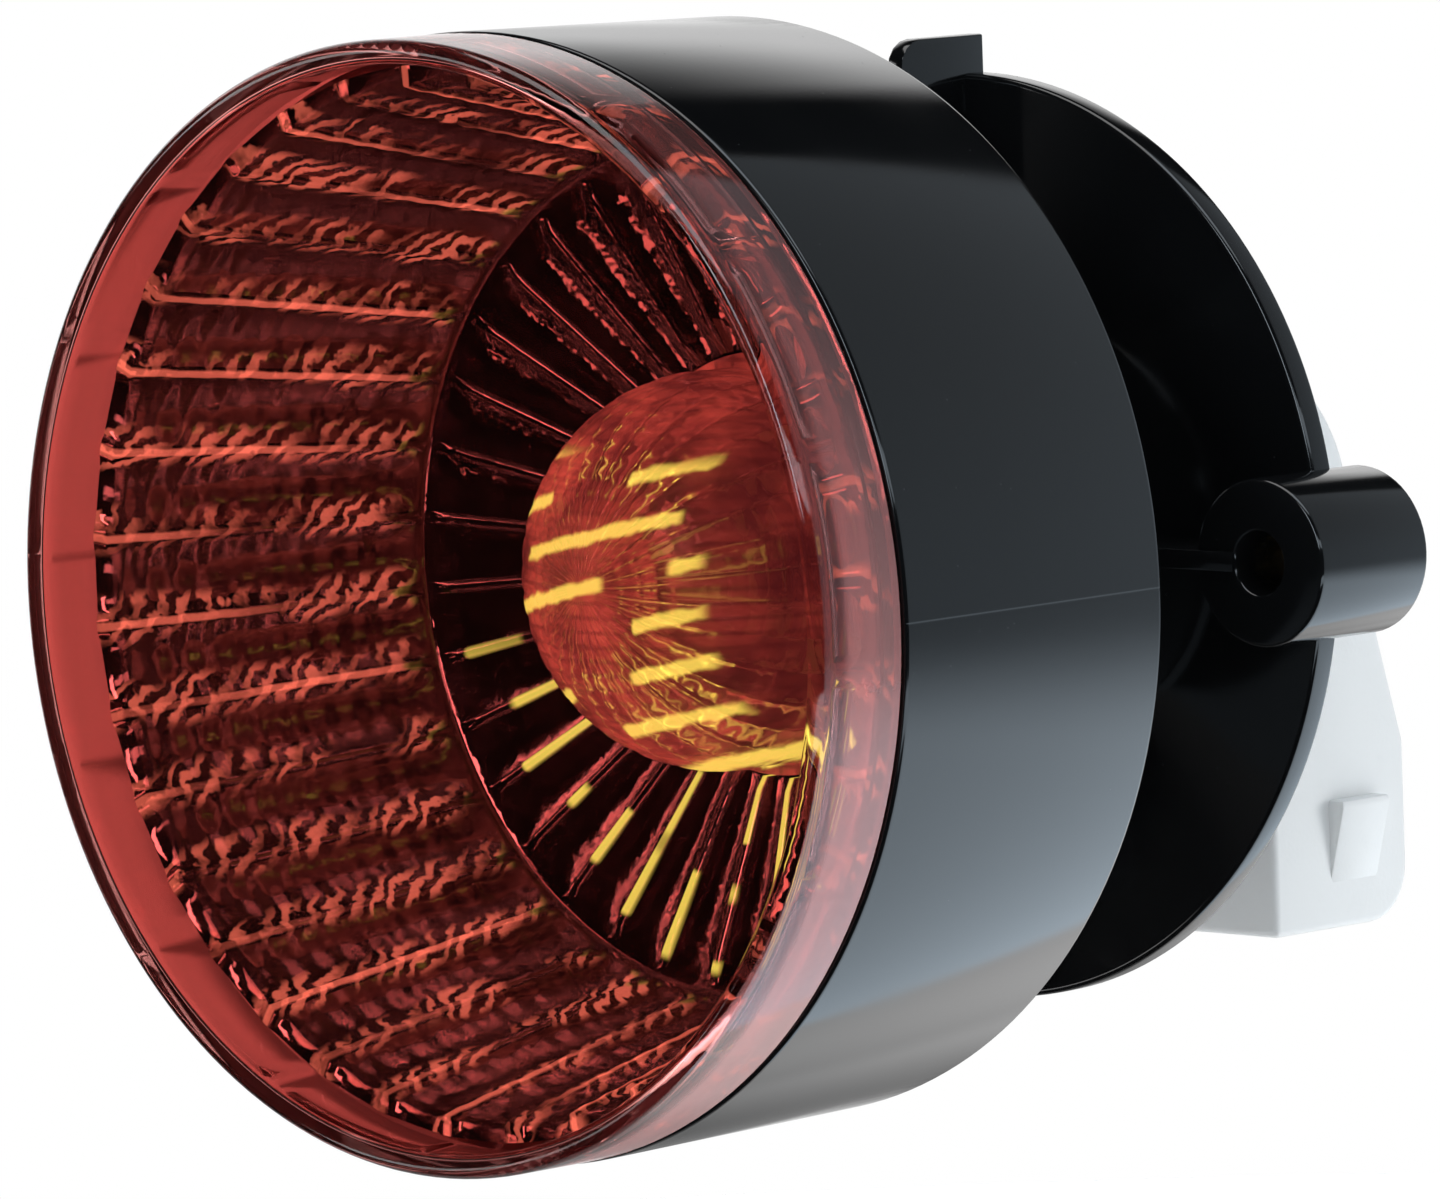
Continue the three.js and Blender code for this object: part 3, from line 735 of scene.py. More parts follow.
def colour(name, description, default):
    return FloatVectorProperty(name=name, description=description, default=default,
                               size=3, min=0.0, max=4.0, subtype="COLOR")


class LampSizes(bpy.types.PropertyGroup):
    """Sizes of the lamp's pieces that a user would change."""
    edge_round: length("Lens edge", "Radius of the lens's front edge", 1.2 * MM)
    rib_width: length("Reflector rib", "Width of the ribs between the reflector's flutes", 1.1 * MM)
    flute_depth: length("Flute depth", "How far a reflector flute is hollowed", 0.6 * MM)
    flange_round: length("Flange edge", "Radius of the rear flange's edges", 0.5 * MM)
    flutes: IntProperty(name="Flutes", description="Flutes around the reflector", default=36, min=8)
    optic_flutes: IntProperty(name="Optic flutes", description="Flutes around the inner optic",
                              default=32, min=8)


class LampColours(bpy.types.PropertyGroup):
    """Colours of the lamp's plastics and of its light."""
    lens: colour("Lens", "Light that passes one wall of the lens", (0.80, 0.29, 0.265))
    frost: colour("Frost", "Matt texture inside the lens's side wall", (0.80, 0.34, 0.32))
    frosting: FloatProperty(name="Frosting", description="How far the matt texture covers the side wall",
                            default=0.18, min=0.0, max=1.0)
    housing: colour("Housing", "Black plastic of the housing and flange", (0.0035, 0.0037, 0.004))
    holder: colour("Holder", "White plastic of the bulb holder", (0.75, 0.75, 0.74))
    # glow also colours the painted dashes on the optic and the painted glints on the reflector, and
    # glow_strength is their brightness
    glow: colour("Glow", "Light of the bulb, before the lens colours it", (0.5, 1.0, 0.16))
    glow_strength: FloatProperty(name="Glow strength", description="Brightness of the lit dashes",
                                 default=2.1, min=0.0)
    filament_strength: FloatProperty(name="Filament strength", description="Brightness of the filaments",
                                     default=0.6, min=0.0)


class StudioSettings(bpy.types.PropertyGroup):
    """The camera's place around the lamp, and the studio's lights."""
    azimuth: FloatProperty(name="Azimuth", description="Camera's turn from the lens axis towards +X",
                           default=math.radians(44.68), subtype="ANGLE")
    elevation: FloatProperty(name="Elevation", description="Camera's height angle",
                             default=math.radians(5.64), subtype="ANGLE")
    roll: FloatProperty(name="Roll", description="Camera's turn about its own axis",
                        default=math.radians(-2.09), subtype="ANGLE")
    distance: length("Distance", "Camera's distance from the lamp", 1.001)
    shift_x: length("Shift X", "Camera's move to its right", 5.83 * MM)
    shift_y: length("Shift Y", "Camera's move upwards", -1.77 * MM)
    focal: FloatProperty(name="Focal length", description="Camera lens, for a 36 mm sensor",
                         default=286.4, unit="CAMERA")
    floor_drop: length("Floor drop", "How far the floor lies below the lamp's axis", 0.12)


class Made:
    """Materials and trees that several operators share."""
    finishes = {}
    ring = None


def finish_of(name):
    """Gives a finish by its slot's name, made when it is first asked for."""
    sizes, colours = bpy.context.scene.lamp_sizes, bpy.context.scene.lamp_colours
    makers = {
        "lens_red": lambda: lens_plastic(colours.lens, colours.frost, colours.frosting),
        "reflector_metal": lambda: metallised_plastic(colours.glow, colours.glow_strength, sizes.flutes),
        "optic_clear": lambda: glowing_optic(colours.glow, colours.glow_strength),
        "housing_black": lambda: black_gloss(colours.housing),
        "holder_white": lambda: white_plastic(colours.holder),
        "seal_rubber": rubber,
        "brass": lambda: metal("brass", (0.78, 0.56, 0.22), (0.55, 0.36, 0.14)),
        "tinned_brass": lambda: metal("tinned_brass", (0.72, 0.70, 0.66), (0.60, 0.52, 0.38)),
        "spring_steel": lambda: metal("spring_steel", (0.62, 0.63, 0.65), (0.45, 0.44, 0.43)),
        "solder": lambda: metal("solder", (0.60, 0.60, 0.60), (0.38, 0.38, 0.39), (0.3, 0.5)),
        "insulator_black": rubber,
        "bulb_glass": clear_glass,
        "filament": lambda: glowing_wire(colours.glow, colours.filament_strength),
    }
    if name not in Made.finishes:
        Made.finishes[name] = makers[name]()
    return Made.finishes[name]


def ring():
    """Gives the tree that repeats a piece about the axis, made when it is first asked for."""
    if Made.ring is None:
        Made.ring = ring_tree()
    return Made.ring


# ---------------------------------------------------------------- pieces

class BuildLens(bpy.types.Operator):
    """Moulds the red lens: flat window, rounded edge, side wall with inner lands, and skirt"""
    bl_idname = "signal_lamp.lens"
    bl_label = "Lens"

    def execute(self, context):
        sizes = context.scene.lamp_sizes
        radius = LENS_HIGH.x / MM
        end = (LENS_HIGH.y - LENS_LOW.y) / MM
        wall, side_end, skirt, skirt_bore, lands = 1.5, 10.1, 47.0, 46.05, 16
        inner = radius - wall
        edge = sizes.edge_round / MM
        profile = filleted([(0, 0), (radius, 0, edge), (radius, side_end, 0.35), (skirt, side_end),
                            (skirt, end, 0.3), (skirt_bore, end, 0.2), (skirt_bore, side_end - 0.7)], 8)
        profile += [(inner, side_end - 1.9), (inner, side_end - 2.2), (inner, wall + 1.6)]
        profile += filleted([(inner, wall + 1.3), (inner, wall, 1.0), (0, wall)], 6)
        land_height = 0.15
        gap = math.radians(1.1)
        first = math.radians(18.4)
        middles = [first + TAU * land / lands for land in range(lands)]
        angles = sorted((middle + side * half) % TAU for middle in middles for side in (-1, 1)
                        for half in (gap, gap * 1.25))
        angles += [angle for angle in even_angles(180)
                   if all(apart(angle, middle) > gap * 1.5 for middle in middles)]

        def land(r, d, angle):
            off_gap = min(apart(angle, middle) for middle in middles) > gap * 1.1
            on_wall = abs(r - inner) < 1e-4 and wall + 1.5 < d < side_end - 2.1
            return (r - land_height if off_gap and on_wall else r), d

        mesh = bmesh.new()
        turn(mesh, profile, sorted(angles), land)
        finished(to_object("lens_shell", mesh), "lens_red", "lamp", "lens")
        return {"FINISHED"}


class BuildReflector(bpy.types.Operator):
    """Forms the metallised reflector: fluted wall with a scalloped front edge, step and ribbed cone"""
    bl_idname = "signal_lamp.reflector"
    bl_label = "Reflector"

    def execute(self, context):
        sizes = context.scene.lamp_sizes
        low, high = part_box("reflector")
        front = (low.y - LENS_LOW.y) / MM
        lip_r = high.x / MM
        front_r = lip_r - 1.6
        rear = (high.y - LENS_LOW.y) / MM
        step_r, step_depth, neck_r = 38.3, 39.4, 19.3
        hollow = sizes.flute_depth / MM
        rib_half = sizes.rib_width / MM / 2
        skin, rib_rise, scallop = 0.45, 0.35, 0.9
        pillow_height, pillow_pitch = 0.05, 3.1
        cone_hollow, cone_rise, cone_skin = 0.3, 0.55, 0.7
        cone_r, cone_start, cone_end = step_r - 1.0, step_depth + 0.9, rear - 1.1

        def raised(rib):
            return math.sqrt(1 - (1 - rib) ** 2)

        def wall_row(t, outside):
            place = front + (step_depth - front) * t
            radius = front_r + (step_r - front_r) * t
            fade = min(1.0, (1 - t) * 12)
            pillow = pillow_height * math.cos(TAU * (place - front) / pillow_pitch)

            def shape(channel, rib):
                edge = scallop * (1 - channel ** 4) * max(0.0, 1 - t * 12)
                if outside:
                    return hollow + skin, edge
                dip = hollow * (1 - channel ** 2) - rib_rise * raised(rib)
                return (dip + pillow) * fade, edge
            return radius, place, shape

        def cone_row(t, outside):
            radius = cone_r + (neck_r - cone_r) * t
            place = cone_start + (cone_end - cone_start) * t
            fade = min(1.0, t * 14, (1 - t) * 14 + 0.2)
            back = cone_skin if outside else 0.0

            def shape(channel, rib):
                return 0.0, back + (cone_hollow * (1 - channel ** 2) - cone_rise * raised(rib)) * fade
            return radius, place, shape

        def lip(channel, rib):
            return 0.0, scallop * (1 - channel ** 4) * 0.3

        wall_steps, cone_steps, back_steps = 56, 16, 8
        rows = [wall_row(i / wall_steps, False) for i in range(wall_steps + 1)]
        rows += [(step_r, step_depth + 0.35, still), (step_r - 0.25, step_depth + 0.6, still)]
        rows += [cone_row(i / cone_steps, False) for i in range(cone_steps + 1)]
        rows += [(neck_r, rear, still), (neck_r + 1.1, rear, still)]
        rows += [cone_row(i / cone_steps, True) for i in range(cone_steps, -1, -1)]
        rows += [(step_r + hollow + skin, step_depth + 1.2, still)]
        rows += [wall_row(i / back_steps, True) for i in range(back_steps, 0, -1)]
        rows += [(front_r + hollow + skin, front + 1.2, lip), (lip_r, front + 1.2, lip), (lip_r, front, lip)]
        flute = to_object("reflector_bowl", fluted_sector(rows, sizes.flutes, rib_half, FLUTE_STATIONS))
        ringed(flute, sizes.flutes, "reflector_metal", RING_WELD)
        finished(reclosed(flute, 50), "reflector_metal", "lamp", "reflector")
        return {"FINISHED"}


class BuildOptic(bpy.types.Operator):
    """Moulds the inner optic: a clear dome of pillow-shaped prisms over the bulb"""
    bl_idname = "signal_lamp.optic"
    bl_label = "Inner optic"

    def execute(self, context):
        sizes = context.scene.lamp_sizes
        low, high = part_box("inner_optic")
        foot_r = high.x / MM
        radius, inner = OPTIC_RADIUS, OPTIC_RADIUS - 1.6
        centre = (low.y - LENS_LOW.y) / MM + radius
        end = (high.y - LENS_LOW.y) / MM
        foot = end - 1.4
        bands, band_steps, inner_steps = 14, 4, 12
        rows = [(0.0, centre - radius, still)]

        def dome_row(angle, phase):
            strength = min(1.0, angle / 0.35)
            ridge = 0.1 * abs(2 * phase - 1) ** 3

            def shape(channel, rib):
                inward = 0.13 * strength * channel ** 3 + 0.02 * rib * strength + ridge
                return -inward * math.sin(angle), inward * math.cos(angle)
            return radius * math.sin(angle), centre - radius * math.cos(angle), shape

        for band in range(bands):
            for step in range(band_steps):
                phase = step / band_steps
                angle = math.pi / 2 * (band + phase) / bands
                if angle > 0:
                    rows.append(dome_row(angle, phase))
        rows += [dome_row(math.pi / 2, 0.0), (radius, foot, still), (foot_r, foot, still),
                 (foot_r, end, still), (inner, end, still)]
        rows += [(inner * math.sin(a), centre - inner * math.cos(a), still)
                 for a in (math.pi / 2 * i / inner_steps for i in range(inner_steps, 0, -1))]
        rows.append((0.0, centre - inner, still))
        rib_half = 0.2
        sector = fluted_sector(rows, sizes.optic_flutes, rib_half, FLUTE_STATIONS)
        flute = to_object("inner_optic_dome", sector)
        ringed(flute, sizes.optic_flutes, "optic_clear", RING_WELD)
        finished(reclosed(flute, 60), "optic_clear", "lamp", "inner_optic")
        return {"FINISHED"}


class BuildHousing(bpy.types.Operator):
    """Moulds the front housing: collar with eased edges and parting lines, cone, neck and vent pipe"""
    bl_idname = "signal_lamp.housing"
    bl_label = "Front housing"

    def execute(self, context):
        collar_r = HOUSING_HIGH.x / MM
        front, rear, rear_r, shoulder = 10.5, 43.0, 48.5, 43.0
        neck_r, neck_bore, neck_front, neck_end = 19.0, 16.9, 55.0, 70.5
        wall = 2.3
        slope = math.atan2(neck_front - rear, shoulder - neck_r)
        inward = wall / math.cos(slope)
        profile = filleted([
            (47.3, front, 0.2), (collar_r, front, 0.45), (rear_r, rear, 0.8), (shoulder, rear, 2.0),
            (neck_r, neck_front, 2.5), (neck_r, neck_end, 0.5), (neck_bore, neck_end, 0.4),
            (neck_bore, neck_front - inward + (neck_r - neck_bore) * math.tan(slope)),
            (shoulder, rear - inward), (rear_r - wall, rear - inward, 1.0)])
        seam_half, seam_depth = math.radians(0.2), 0.045
        collar_least = 47

        def seam(r, d, angle):
            near = min(apart(angle, place) for place in SEAM_ANGLES)
            return (r - seam_depth if near < seam_half * 0.5 and r > collar_least else r), d

        mesh = bmesh.new()
        turn(mesh, profile, with_seams(even_angles(192), SEAM_ANGLES, seam_half), seam)
        pipe = filleted([(1.5, 46), (3, 46), (3, 57, 0.4), (1.5, 57, 0.3)])
        turn(mesh, pipe, even_angles(32), centre=VENT_CENTRE)
        finished(to_object("front_housing_shell", mesh), "housing_black", "lamp", "front_housing")
        return {"FINISHED"}


class BuildBreather(bpy.types.Operator):
    """Moulds the rubber breather cap with its grip ribs"""
    bl_idname = "signal_lamp.breather"
    bl_label = "Breather cap"

    def execute(self, context):
        mesh = bmesh.new()
        profile = filleted([
            (3.3, 52, 0.2), (4.6, 52, 0.3), (4.6, 58.7, 0.9), (0, 58.7), (0, 57.3), (3.3, 57.3)])
        ribs, groove = 18, 0.3

        def grip(r, d, angle):
            ridge = 0.5 + 0.5 * math.cos(ribs * angle)
            return (r - groove * (1 - ridge) if r > 4.2 and 52.6 < d < 57.8 else r), d

        turn(mesh, profile, even_angles(ribs * 6), grip, centre=VENT_CENTRE)
        finished(to_object("breather_cap_ribbed", mesh), "seal_rubber", "lamp", "breather_cap")
        return {"FINISHED"}


class BuildFlange(bpy.types.Operator):
    """Moulds the rear flange: disc, hub, notched lip and key fin"""
    bl_idname = "signal_lamp.flange"
    bl_label = "Rear flange"

    def execute(self, context):
        sizes = context.scene.lamp_sizes
        edge = sizes.flange_round / MM
        mesh = bmesh.new()
        turn(mesh, filleted([
            (19.3, 60, 0.3), (21, 60, 0.4), (21, 70.8, 1.0), (41.7, 70.8, edge), (41.7, 73.4, edge),
            (21, 73.4, 0.8), (21, 77, 0.4), (16.7, 77, 0.3), (16.7, 75, 0.2), (18.4, 75), (18.4, 70.8),
            (19.3, 70.8)]), even_angles(192))
        flange = to_object("rear_flange_disc", mesh)
        cutter = bmesh.new()
        for index in range(BOSS_COUNT):
            angle = TAU * index / BOSS_COUNT
            turn(cutter, [(0, 60), (3.9, 60), (3.9, 80), (0, 80)], even_angles(32),
                 centre=(BOSS_PITCH * math.cos(angle), BOSS_PITCH * math.sin(angle)))
            wedge(cutter, 15, 18.4, 14, 74.5, 78, math.degrees(angle) - 40)
        carved(flange, cutter)
        fin = bmesh.new()
        top, thick = FLANGE_HIGH.z / MM, 0.9
        outline = filleted([(62.7, 20), (73.4, 20), (73.4, top, 0.2), (62.7, top, 2.5)])
        extrude(fin, outline, (-thick, thick), upright)
        fin = eased(to_object("key_fin", fin), 0.25)
        joined(flange, fin)
        finished(reclosed(flange), "housing_black", "lamp", "rear_flange")
        return {"FINISHED"}


class BuildBosses(bpy.types.Operator):
    """Moulds the three screw bosses with their gussets, and the threaded inserts in them"""
    bl_idname = "signal_lamp.bosses"
    bl_label = "Bosses and inserts"

    def execute(self, context):
        first = (BOSS_PITCH, 0.0)
        mesh = bmesh.new()
        profile = filleted([
            (2.8, 63, 0.3), (7.4, 63, 0.45), (7.4, 77, 0.45), (3.6, 77, 0.3), (3.6, 70), (2.8, 70)])
        turn(mesh, profile, even_angles(64), centre=first)
        boss = to_object("screw_bosses", mesh)
        gusset = bmesh.new()
        block(gusset, (20, 62.7, -0.9), (38.55, 71.5, 0.9))
        joined(boss, eased(to_object("gusset", gusset), 0.25))
        ringed(boss, BOSS_COUNT, "housing_black")
        finished(reclosed(boss), "housing_black", "lamp")
        insert = bmesh.new()
        front, rear, grip_r, groove_r = 70.3, 76.7, 3.3, 3.0
        outline = [(grip_r, front)]
        for start, end in ((71.8, 72.6), (74.4, 75.2)):
            outline += [(grip_r, start, 0.15), (groove_r, start), (groove_r, end), (grip_r, end, 0.15)]
        outline += [(grip_r, rear, 0.2), (2.7, rear, 0.1)]
        turns, first_turn, lead, crest_r, root_r = 8, 76.4, 0.72, 2.5, 2.85
        for index in range(turns):
            place = first_turn - lead * index
            outline += [(crest_r, place), (root_r, place - lead / 2)]
        outline += [(crest_r, 70.5), (2.7, front)]
        turn(insert, filleted(outline, 2), even_angles(40), centre=first)
        inserts = to_object("threaded_inserts", insert)
        ringed(inserts, BOSS_COUNT, "brass")
        names = [f"threaded_insert_{index + 1}" for index in range(BOSS_COUNT)]
        finished(reclosed(inserts), "brass", "lamp", *names)
        return {"FINISHED"}


class BuildHolder(bpy.types.Operator):
    """Moulds the white bulb holder: barrel with lugs, flange, cap and connector shroud"""
    bl_idname = "signal_lamp.holder"
    bl_label = "Bulb holder"

    def execute(self, context):
        mesh = bmesh.new()
        turn(mesh, filleted([
            (9.2, 62, 0.3), (16.3, 62, 0.6), (16.3, 79.6), (20.5, 79.6, 0.3), (20.5, 82.2, 0.7),
            (15, 82.2, 0.6), (15, 106, 2.0), (0, 106), (0, 89), (9.2, 89)], 6), even_angles(128))
        barrel = to_object("bulb_holder", mesh)
        slots = bmesh.new()
        for x in TERMINAL_PLACES:
            block(slots, (x - BLADE_HALF, 88.5, -7.2), (x + BLADE_HALF, 104.2, -5.8))
        carved(barrel, slots)
        lug = bmesh.new()
        wedge(lug, 15.5, 18, 12, 72.3, 74.6)
        lugs = eased(to_object("lugs", lug), 0.25)
        ringed(lugs, BOSS_COUNT, "holder_white")
        half, front, rear, bottom = 14.0, 94.4, 112.7, HOLDER_LOW.z / MM
        body = bmesh.new()
        outline = filleted([
            (front, bottom), (rear, bottom, 5.0), (rear, -22, 3.0), (106, 0, 2.0), (front, 0)], 6)
        extrude(body, outline, (-half, half), upright)
        shroud = to_object("shroud", body)
        cavity = bmesh.new()
        wall = 2
        block(cavity, (wall - half, front + wall, bottom - 1), (half - wall, rear - wall, -20))
        carved(shroud, cavity)
        eased(shroud, 0.7, 3)
        blades = bmesh.new()
        for x in TERMINAL_PLACES:
            block(blades, (x - BLADE_HALF, 102.8, -21), (x + BLADE_HALF, 104.2, -5.8))
        carved(shroud, blades)
        ramps = bmesh.new()
        for side in (-1, 1):
            foot, crest = side * (half - 0.5), side * (half + 1.8)
            outline = [(foot, -36), (crest, -27.2), (crest, -26.5), (foot, -26.5)]
            extrude(ramps, outline, (101.95, 108.45), facing)
        ramps = eased(to_object("ramps", ramps), 0.3)
        joined(barrel, lugs, shroud, ramps)
        finished(reclosed(barrel), "holder_white", "holder", "holder_body")
        seal = bmesh.new()
        turn(seal, filleted([(16.6, 77.3, 0.5), (18.0, 77.3, 0.4), (18.4, 77.7, 0.3), (18.8, 77.3, 0.4),
                             (20.2, 77.3, 0.5), (20.2, 79.3, 0.5), (16.6, 79.3, 0.5)]), even_angles(128))
        finished(to_object("holder_seal_ring", seal), "seal_rubber", "holder", "holder_seal")
        return {"FINISHED"}


class BuildBulb(bpy.types.Operator):
    """Blows the bulb's glass and rolls its brass cap with two side pins"""
    bl_idname = "signal_lamp.bulb"
    bl_label = "Bulb"

    def execute(self, context):
        centre, radius, neck, thin = 37.0, 12.5, 6.9, 0.7
        steps = 20

        def dome(r):
            angles = [math.radians(-90 + 146 * i / steps) for i in range(steps + 1)]
            return [(max(r * math.cos(a), 0.0), centre + r * math.sin(a)) for a in angles]

        outer, inner = dome(radius), dome(radius - thin)
        glass = bmesh.new()
        neck_front, neck_end = 49, 57
        turn(glass, outer + [(neck, neck_front), (neck, neck_end), (neck - thin, neck_end),
                             (neck - thin, neck_front)] + inner[::-1], even_angles(96))
        finished(to_object("bulb_envelope", glass, 60), "bulb_glass", "bulb", "bulb_glass")
        cap = bmesh.new()
        turn(cap, filleted([
            (7.2, 53.5), (7.6, 53.5, 0.15), (7.6, 56.2, 0.3), (7.3, 56.6, 0.2), (7.6, 57, 0.3),
            (7.6, 73.7), (7.0, 74.5, 0.3), (5.3, 74.5), (5.3, 73.9), (7.2, 73.3)]), even_angles(64))
        pin = ((7.4, 1.0), (8.45, 1.0), (8.7, 0.75))
        for side, place in ((1, 64.5), (-1, 67.7)):
            tube(cap, [[cap.verts.new((side * x * MM, depth(place + r * math.cos(a)), r * math.sin(a) * MM))
                        for a in even_angles(16)] for x, r in pin])
        finished(to_object("bulb_cap_shell", cap), "brass", "bulb", "bulb_cap")
        return {"FINISHED"}


class BuildFilaments(bpy.types.Operator):
    """Winds the two filaments between their lead wires"""
    bl_idname = "signal_lamp.filaments"
    bl_label = "Filaments"

    def execute(self, context):
        coil = coil_tree()
        lead_foot, lead_bend, lead_radius = 44.7, 40.7, 0.18
        for node, foot_x, top_x, place, foot_z, top_z in (
                ("filament_stop", 3.4, 2.6, 36.0, -0.5, -0.8), ("filament_tail", 1.6, 2.0, 33.0, 1.0, 2.2)):
            leads = bmesh.new()
            for side in (-1, 1):
                path = [Vector((side * foot_x, lead_foot, foot_z)),
                        Vector((side * foot_x, lead_bend, (foot_z + top_z) / 2)),
                        Vector((side * top_x, place, top_z))]
                self.rod(leads, path, lead_radius)
            piece = to_object(node + "_coil", leads)
            grown(piece, coil, {
                "Turns": 14.0, "Coil Radius": 0.4 * MM, "Length": 2 * top_x * 0.96 * MM,
                "Wire Radius": 0.1 * MM, "Centre": (0.0, depth(place), top_z * MM),
                "Material": finish_of("filament")})
            finished(piece, "filament", "bulb", node)
        return {"FINISHED"}

    @staticmethod
    def rod(mesh, path, radius):
        """Adds a round wire along a path of (x, depth, height) points."""
        rings = []
        for point in path:
            rings.append([mesh.verts.new((
                (point.x + radius * math.cos(a)) * MM, depth(point.y), (point.z + radius * math.sin(a)) * MM))
                for a in even_angles(8)])
        tube(mesh, rings)


class DressKeptParts(bpy.types.Operator):
    """Gives the CAD parts that stay their finishes"""
    bl_idname = "signal_lamp.kept_parts"
    bl_label = "Kept parts"

    def execute(self, context):
        kept = {
            "optic_ring": "housing_black", "tail_terminal": "tinned_brass", "earth_terminal": "tinned_brass",
            "stop_terminal": "tinned_brass", "socket_shell": "spring_steel", "contact_spring": "spring_steel",
            "contact_pin_tail": "brass", "contact_pin_stop": "brass", "contact_carrier": "insulator_black",
            "bulb_insulator": "insulator_black", "bulb_contact_tail": "solder", "bulb_contact_stop": "solder",
            "bulb_stem": "bulb_glass",
        }
        for node, slot in kept.items():
            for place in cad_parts[node].material_slots:
                place.material = finish_of(slot)
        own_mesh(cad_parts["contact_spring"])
        return {"FINISHED"}


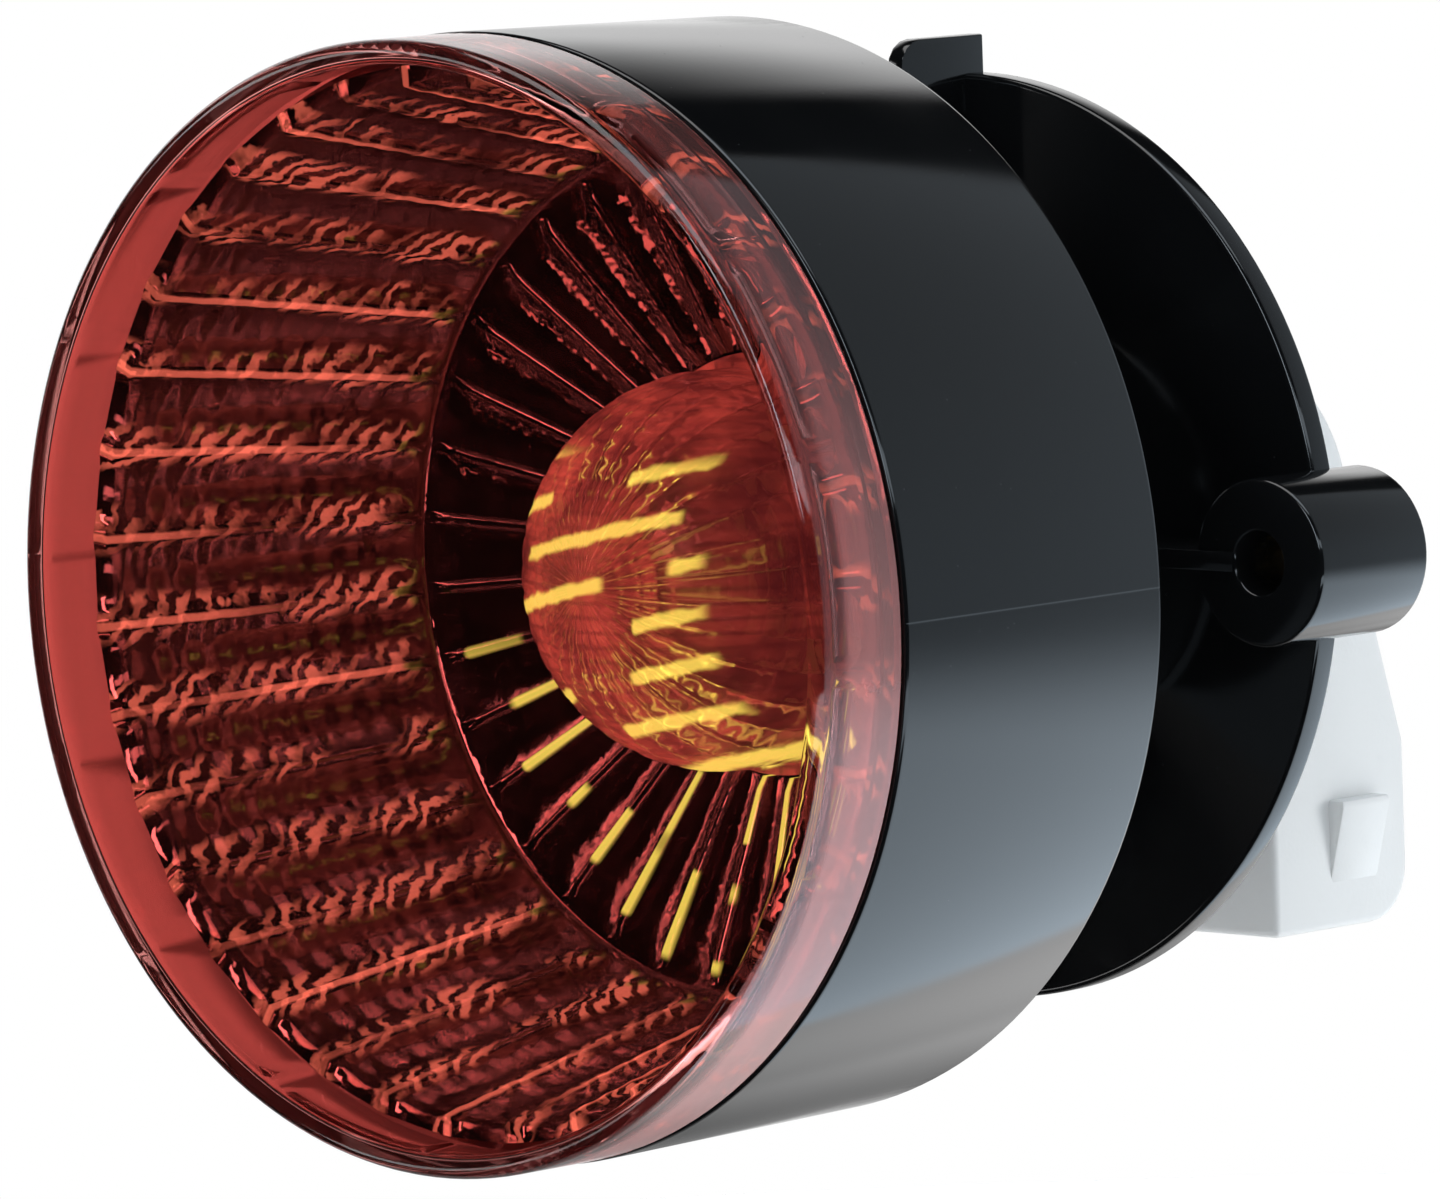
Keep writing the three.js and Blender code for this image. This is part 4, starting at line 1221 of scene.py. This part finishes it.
class BuildStudio(bpy.types.Operator):
    """Sets up the pale floor, the soft lights, the surroundings and the camera"""
    bl_idname = "signal_lamp.studio"
    bl_label = "Studio"

    def execute(self, context):
        scene = context.scene
        scene.view_settings.view_transform = "Standard"
        self.place_camera(scene)
        self.lay_floor(scene)
        self.paint_surroundings(scene)
        for name, place, size, power in (
                ("soft_key", (0.6, 0.6, 0.0), 0.4, 3.2), ("soft_under", (0.5, -0.1, -0.5), 0.4, 3.0)):
            self.hang_light(scene, name, Vector(place), size, power)
        return {"FINISHED"}

    @staticmethod
    def place_camera(scene):
        studio = scene.lamp_studio
        azimuth, elevation, roll = studio.azimuth, studio.elevation, studio.roll
        back = Vector((math.sin(azimuth) * math.cos(elevation),
                       -math.cos(azimuth) * math.cos(elevation), math.sin(elevation)))
        level = Vector((math.cos(azimuth), math.sin(azimuth), 0.0))
        above = back.cross(level)
        right = level * math.cos(roll) + above * math.sin(roll)
        up = above * math.cos(roll) - level * math.sin(roll)
        target = Vector((0.0, LENS_LOW.y + 30 * MM, 0.0))
        place = target + back * studio.distance + right * studio.shift_x + up * studio.shift_y
        data = bpy.data.cameras.new("camera")
        data.lens = studio.focal
        data.sensor_width = 36.0
        data.clip_end = 50.0
        camera = bpy.data.objects.new("camera", data)
        turn_matrix = Matrix((right, up, back)).transposed().to_4x4()
        camera.matrix_world = Matrix.Translation(place) @ turn_matrix
        scene.collection.objects.link(camera)
        scene.camera = camera

    @staticmethod
    def lay_floor(scene):
        mesh = bmesh.new()
        bmesh.ops.create_circle(mesh, cap_ends=True, segments=96, radius=0.4,
                                matrix=Matrix.Translation((0, 0, -scene.lamp_studio.floor_drop)))
        data = bpy.data.meshes.new("floor")
        mesh.to_mesh(data)
        mesh.free()
        finish = Finish("floor_paint")
        data.materials.append(finish.shade({
            "Base Color": (0.9, 0.9, 0.9, 1), "Roughness": finish.fade(finish.noise(30), 0.3, 0.7, 0.7, 0.8),
            "Emission Color": WHITE, "Emission Strength": 0.35}))
        floor = bpy.data.objects.new("floor", data)
        floor.visible_glossy = False
        floor.visible_transmission = False
        scene.collection.objects.link(floor)

    @staticmethod
    def paint_surroundings(scene):
        """A pale backdrop behind the lamp, a dark gap, a grey side wall and dark front with soft boxes."""
        world = bpy.data.worlds.new("studio")
        scene.world = world
        world.use_nodes = True
        tree = Tree(world.node_tree)
        sight = tree.node("ShaderNodeTexCoord", output="Generated")
        x, y, z = tree.axes(sight)
        behind = tree.fade(y, 0.0, 0.15)
        ahead = 1 - behind
        bearing = x / tree.math("MAXIMUM", y, 0.05)
        height = tree.fade(z, -0.3, -0.12, 0.28, 1.05) + tree.fade(z, 0.15, 0.45) * 0.7
        backdrop = tree.fade(bearing, -0.42, -0.56) * tree.fade(z, 0.75, 0.3) * height
        side = tree.fade(bearing, -0.12, -0.06) * tree.fade(z, 0.9, -0.1, 0.35, 0.55)
        ground = tree.fade(z, -0.12, -0.42) * tree.fade(bearing, -0.85, -0.1, 0.05, 2.0)
        rear_light = (backdrop + side + ground) * behind
        overhead = tree.fade(z, 0.82, 0.86) * 3.0
        left_box = tree.soft_box(x + 0.76, 0.14, z - 0.2, 0.11, 0.02, 3.0)
        low_box = tree.soft_box(x + 0.6, 0.2, z + 0.42, 0.09, 0.02, 2.4)
        strip = tree.soft_box(x - 0.59 + z * 0.85, 0.13, z - 0.4, 0.25, 0.03, 6.0)
        right_bars = tree.fade(abs(abs(z) - 0.34), 0.09, 0.06) * tree.fade(x, 0.45, 0.6) * 2.4
        dimness = 0.008
        front_light = (overhead + left_box + low_box + strip + right_bars + dimness) * ahead
        light = rear_light + front_light
        seen = tree.node("ShaderNodeLightPath", output="Is Camera Ray")
        strength = light * (1 - seen) + seen
        cool = tree.blend(side * (1 - seen), WHITE, (0.72, 1.0, 1.25, 1))
        background = tree.node("ShaderNodeBackground", sockets={"Color": cool, "Strength": strength})
        tree.node("ShaderNodeOutputWorld", sockets={"Surface": background})

    @staticmethod
    def hang_light(scene, name, place, size, power):
        data = bpy.data.lights.new(name, "AREA")
        data.shape = "DISK"
        data.size = size
        data.energy = power
        lamp = bpy.data.objects.new(name, data)
        lamp.location = place
        lamp.rotation_euler = place.to_track_quat("Z", "Y").to_euler()
        lamp.visible_glossy = False
        lamp.visible_camera = False
        lamp.visible_transmission = False
        scene.collection.objects.link(lamp)


BUILDERS = (BuildStudio, BuildLens, BuildReflector, BuildOptic, BuildHousing, BuildBreather, BuildFlange,
            BuildBosses, BuildHolder, BuildBulb, BuildFilaments, DressKeptParts)
SETTINGS = (LampSizes, LampColours, StudioSettings)


class SignalLampPanel(bpy.types.Panel):
    """Lists the lamp's builders and settings in the 3D view's sidebar"""
    bl_idname = "VIEW3D_PT_signal_lamp"
    bl_label = "Signal Lamp"
    bl_space_type = "VIEW_3D"
    bl_region_type = "UI"
    bl_category = "Signal Lamp"

    def draw(self, context):
        for settings in (context.scene.lamp_sizes, context.scene.lamp_colours, context.scene.lamp_studio):
            box = self.layout.box()
            for name in settings.bl_rna.properties.keys():
                if name not in {"rna_type", "name"}:
                    box.prop(settings, name)
        for builder in BUILDERS:
            self.layout.operator(builder.bl_idname)


def register():
    for kind in (*SETTINGS, *BUILDERS, SignalLampPanel):
        bpy.utils.register_class(kind)
    bpy.types.Scene.lamp_sizes = PointerProperty(type=LampSizes)
    bpy.types.Scene.lamp_colours = PointerProperty(type=LampColours)
    bpy.types.Scene.lamp_studio = PointerProperty(type=StudioSettings)


def unregister():
    del bpy.types.Scene.lamp_studio
    del bpy.types.Scene.lamp_colours
    del bpy.types.Scene.lamp_sizes
    for kind in reversed((*SETTINGS, *BUILDERS, SignalLampPanel)):
        bpy.utils.unregister_class(kind)


def main():
    register()
    for builder in BUILDERS:
        group, name = builder.bl_idname.split(".")
        getattr(getattr(bpy.ops, group), name)()


if __name__ == "__main__":
    main()
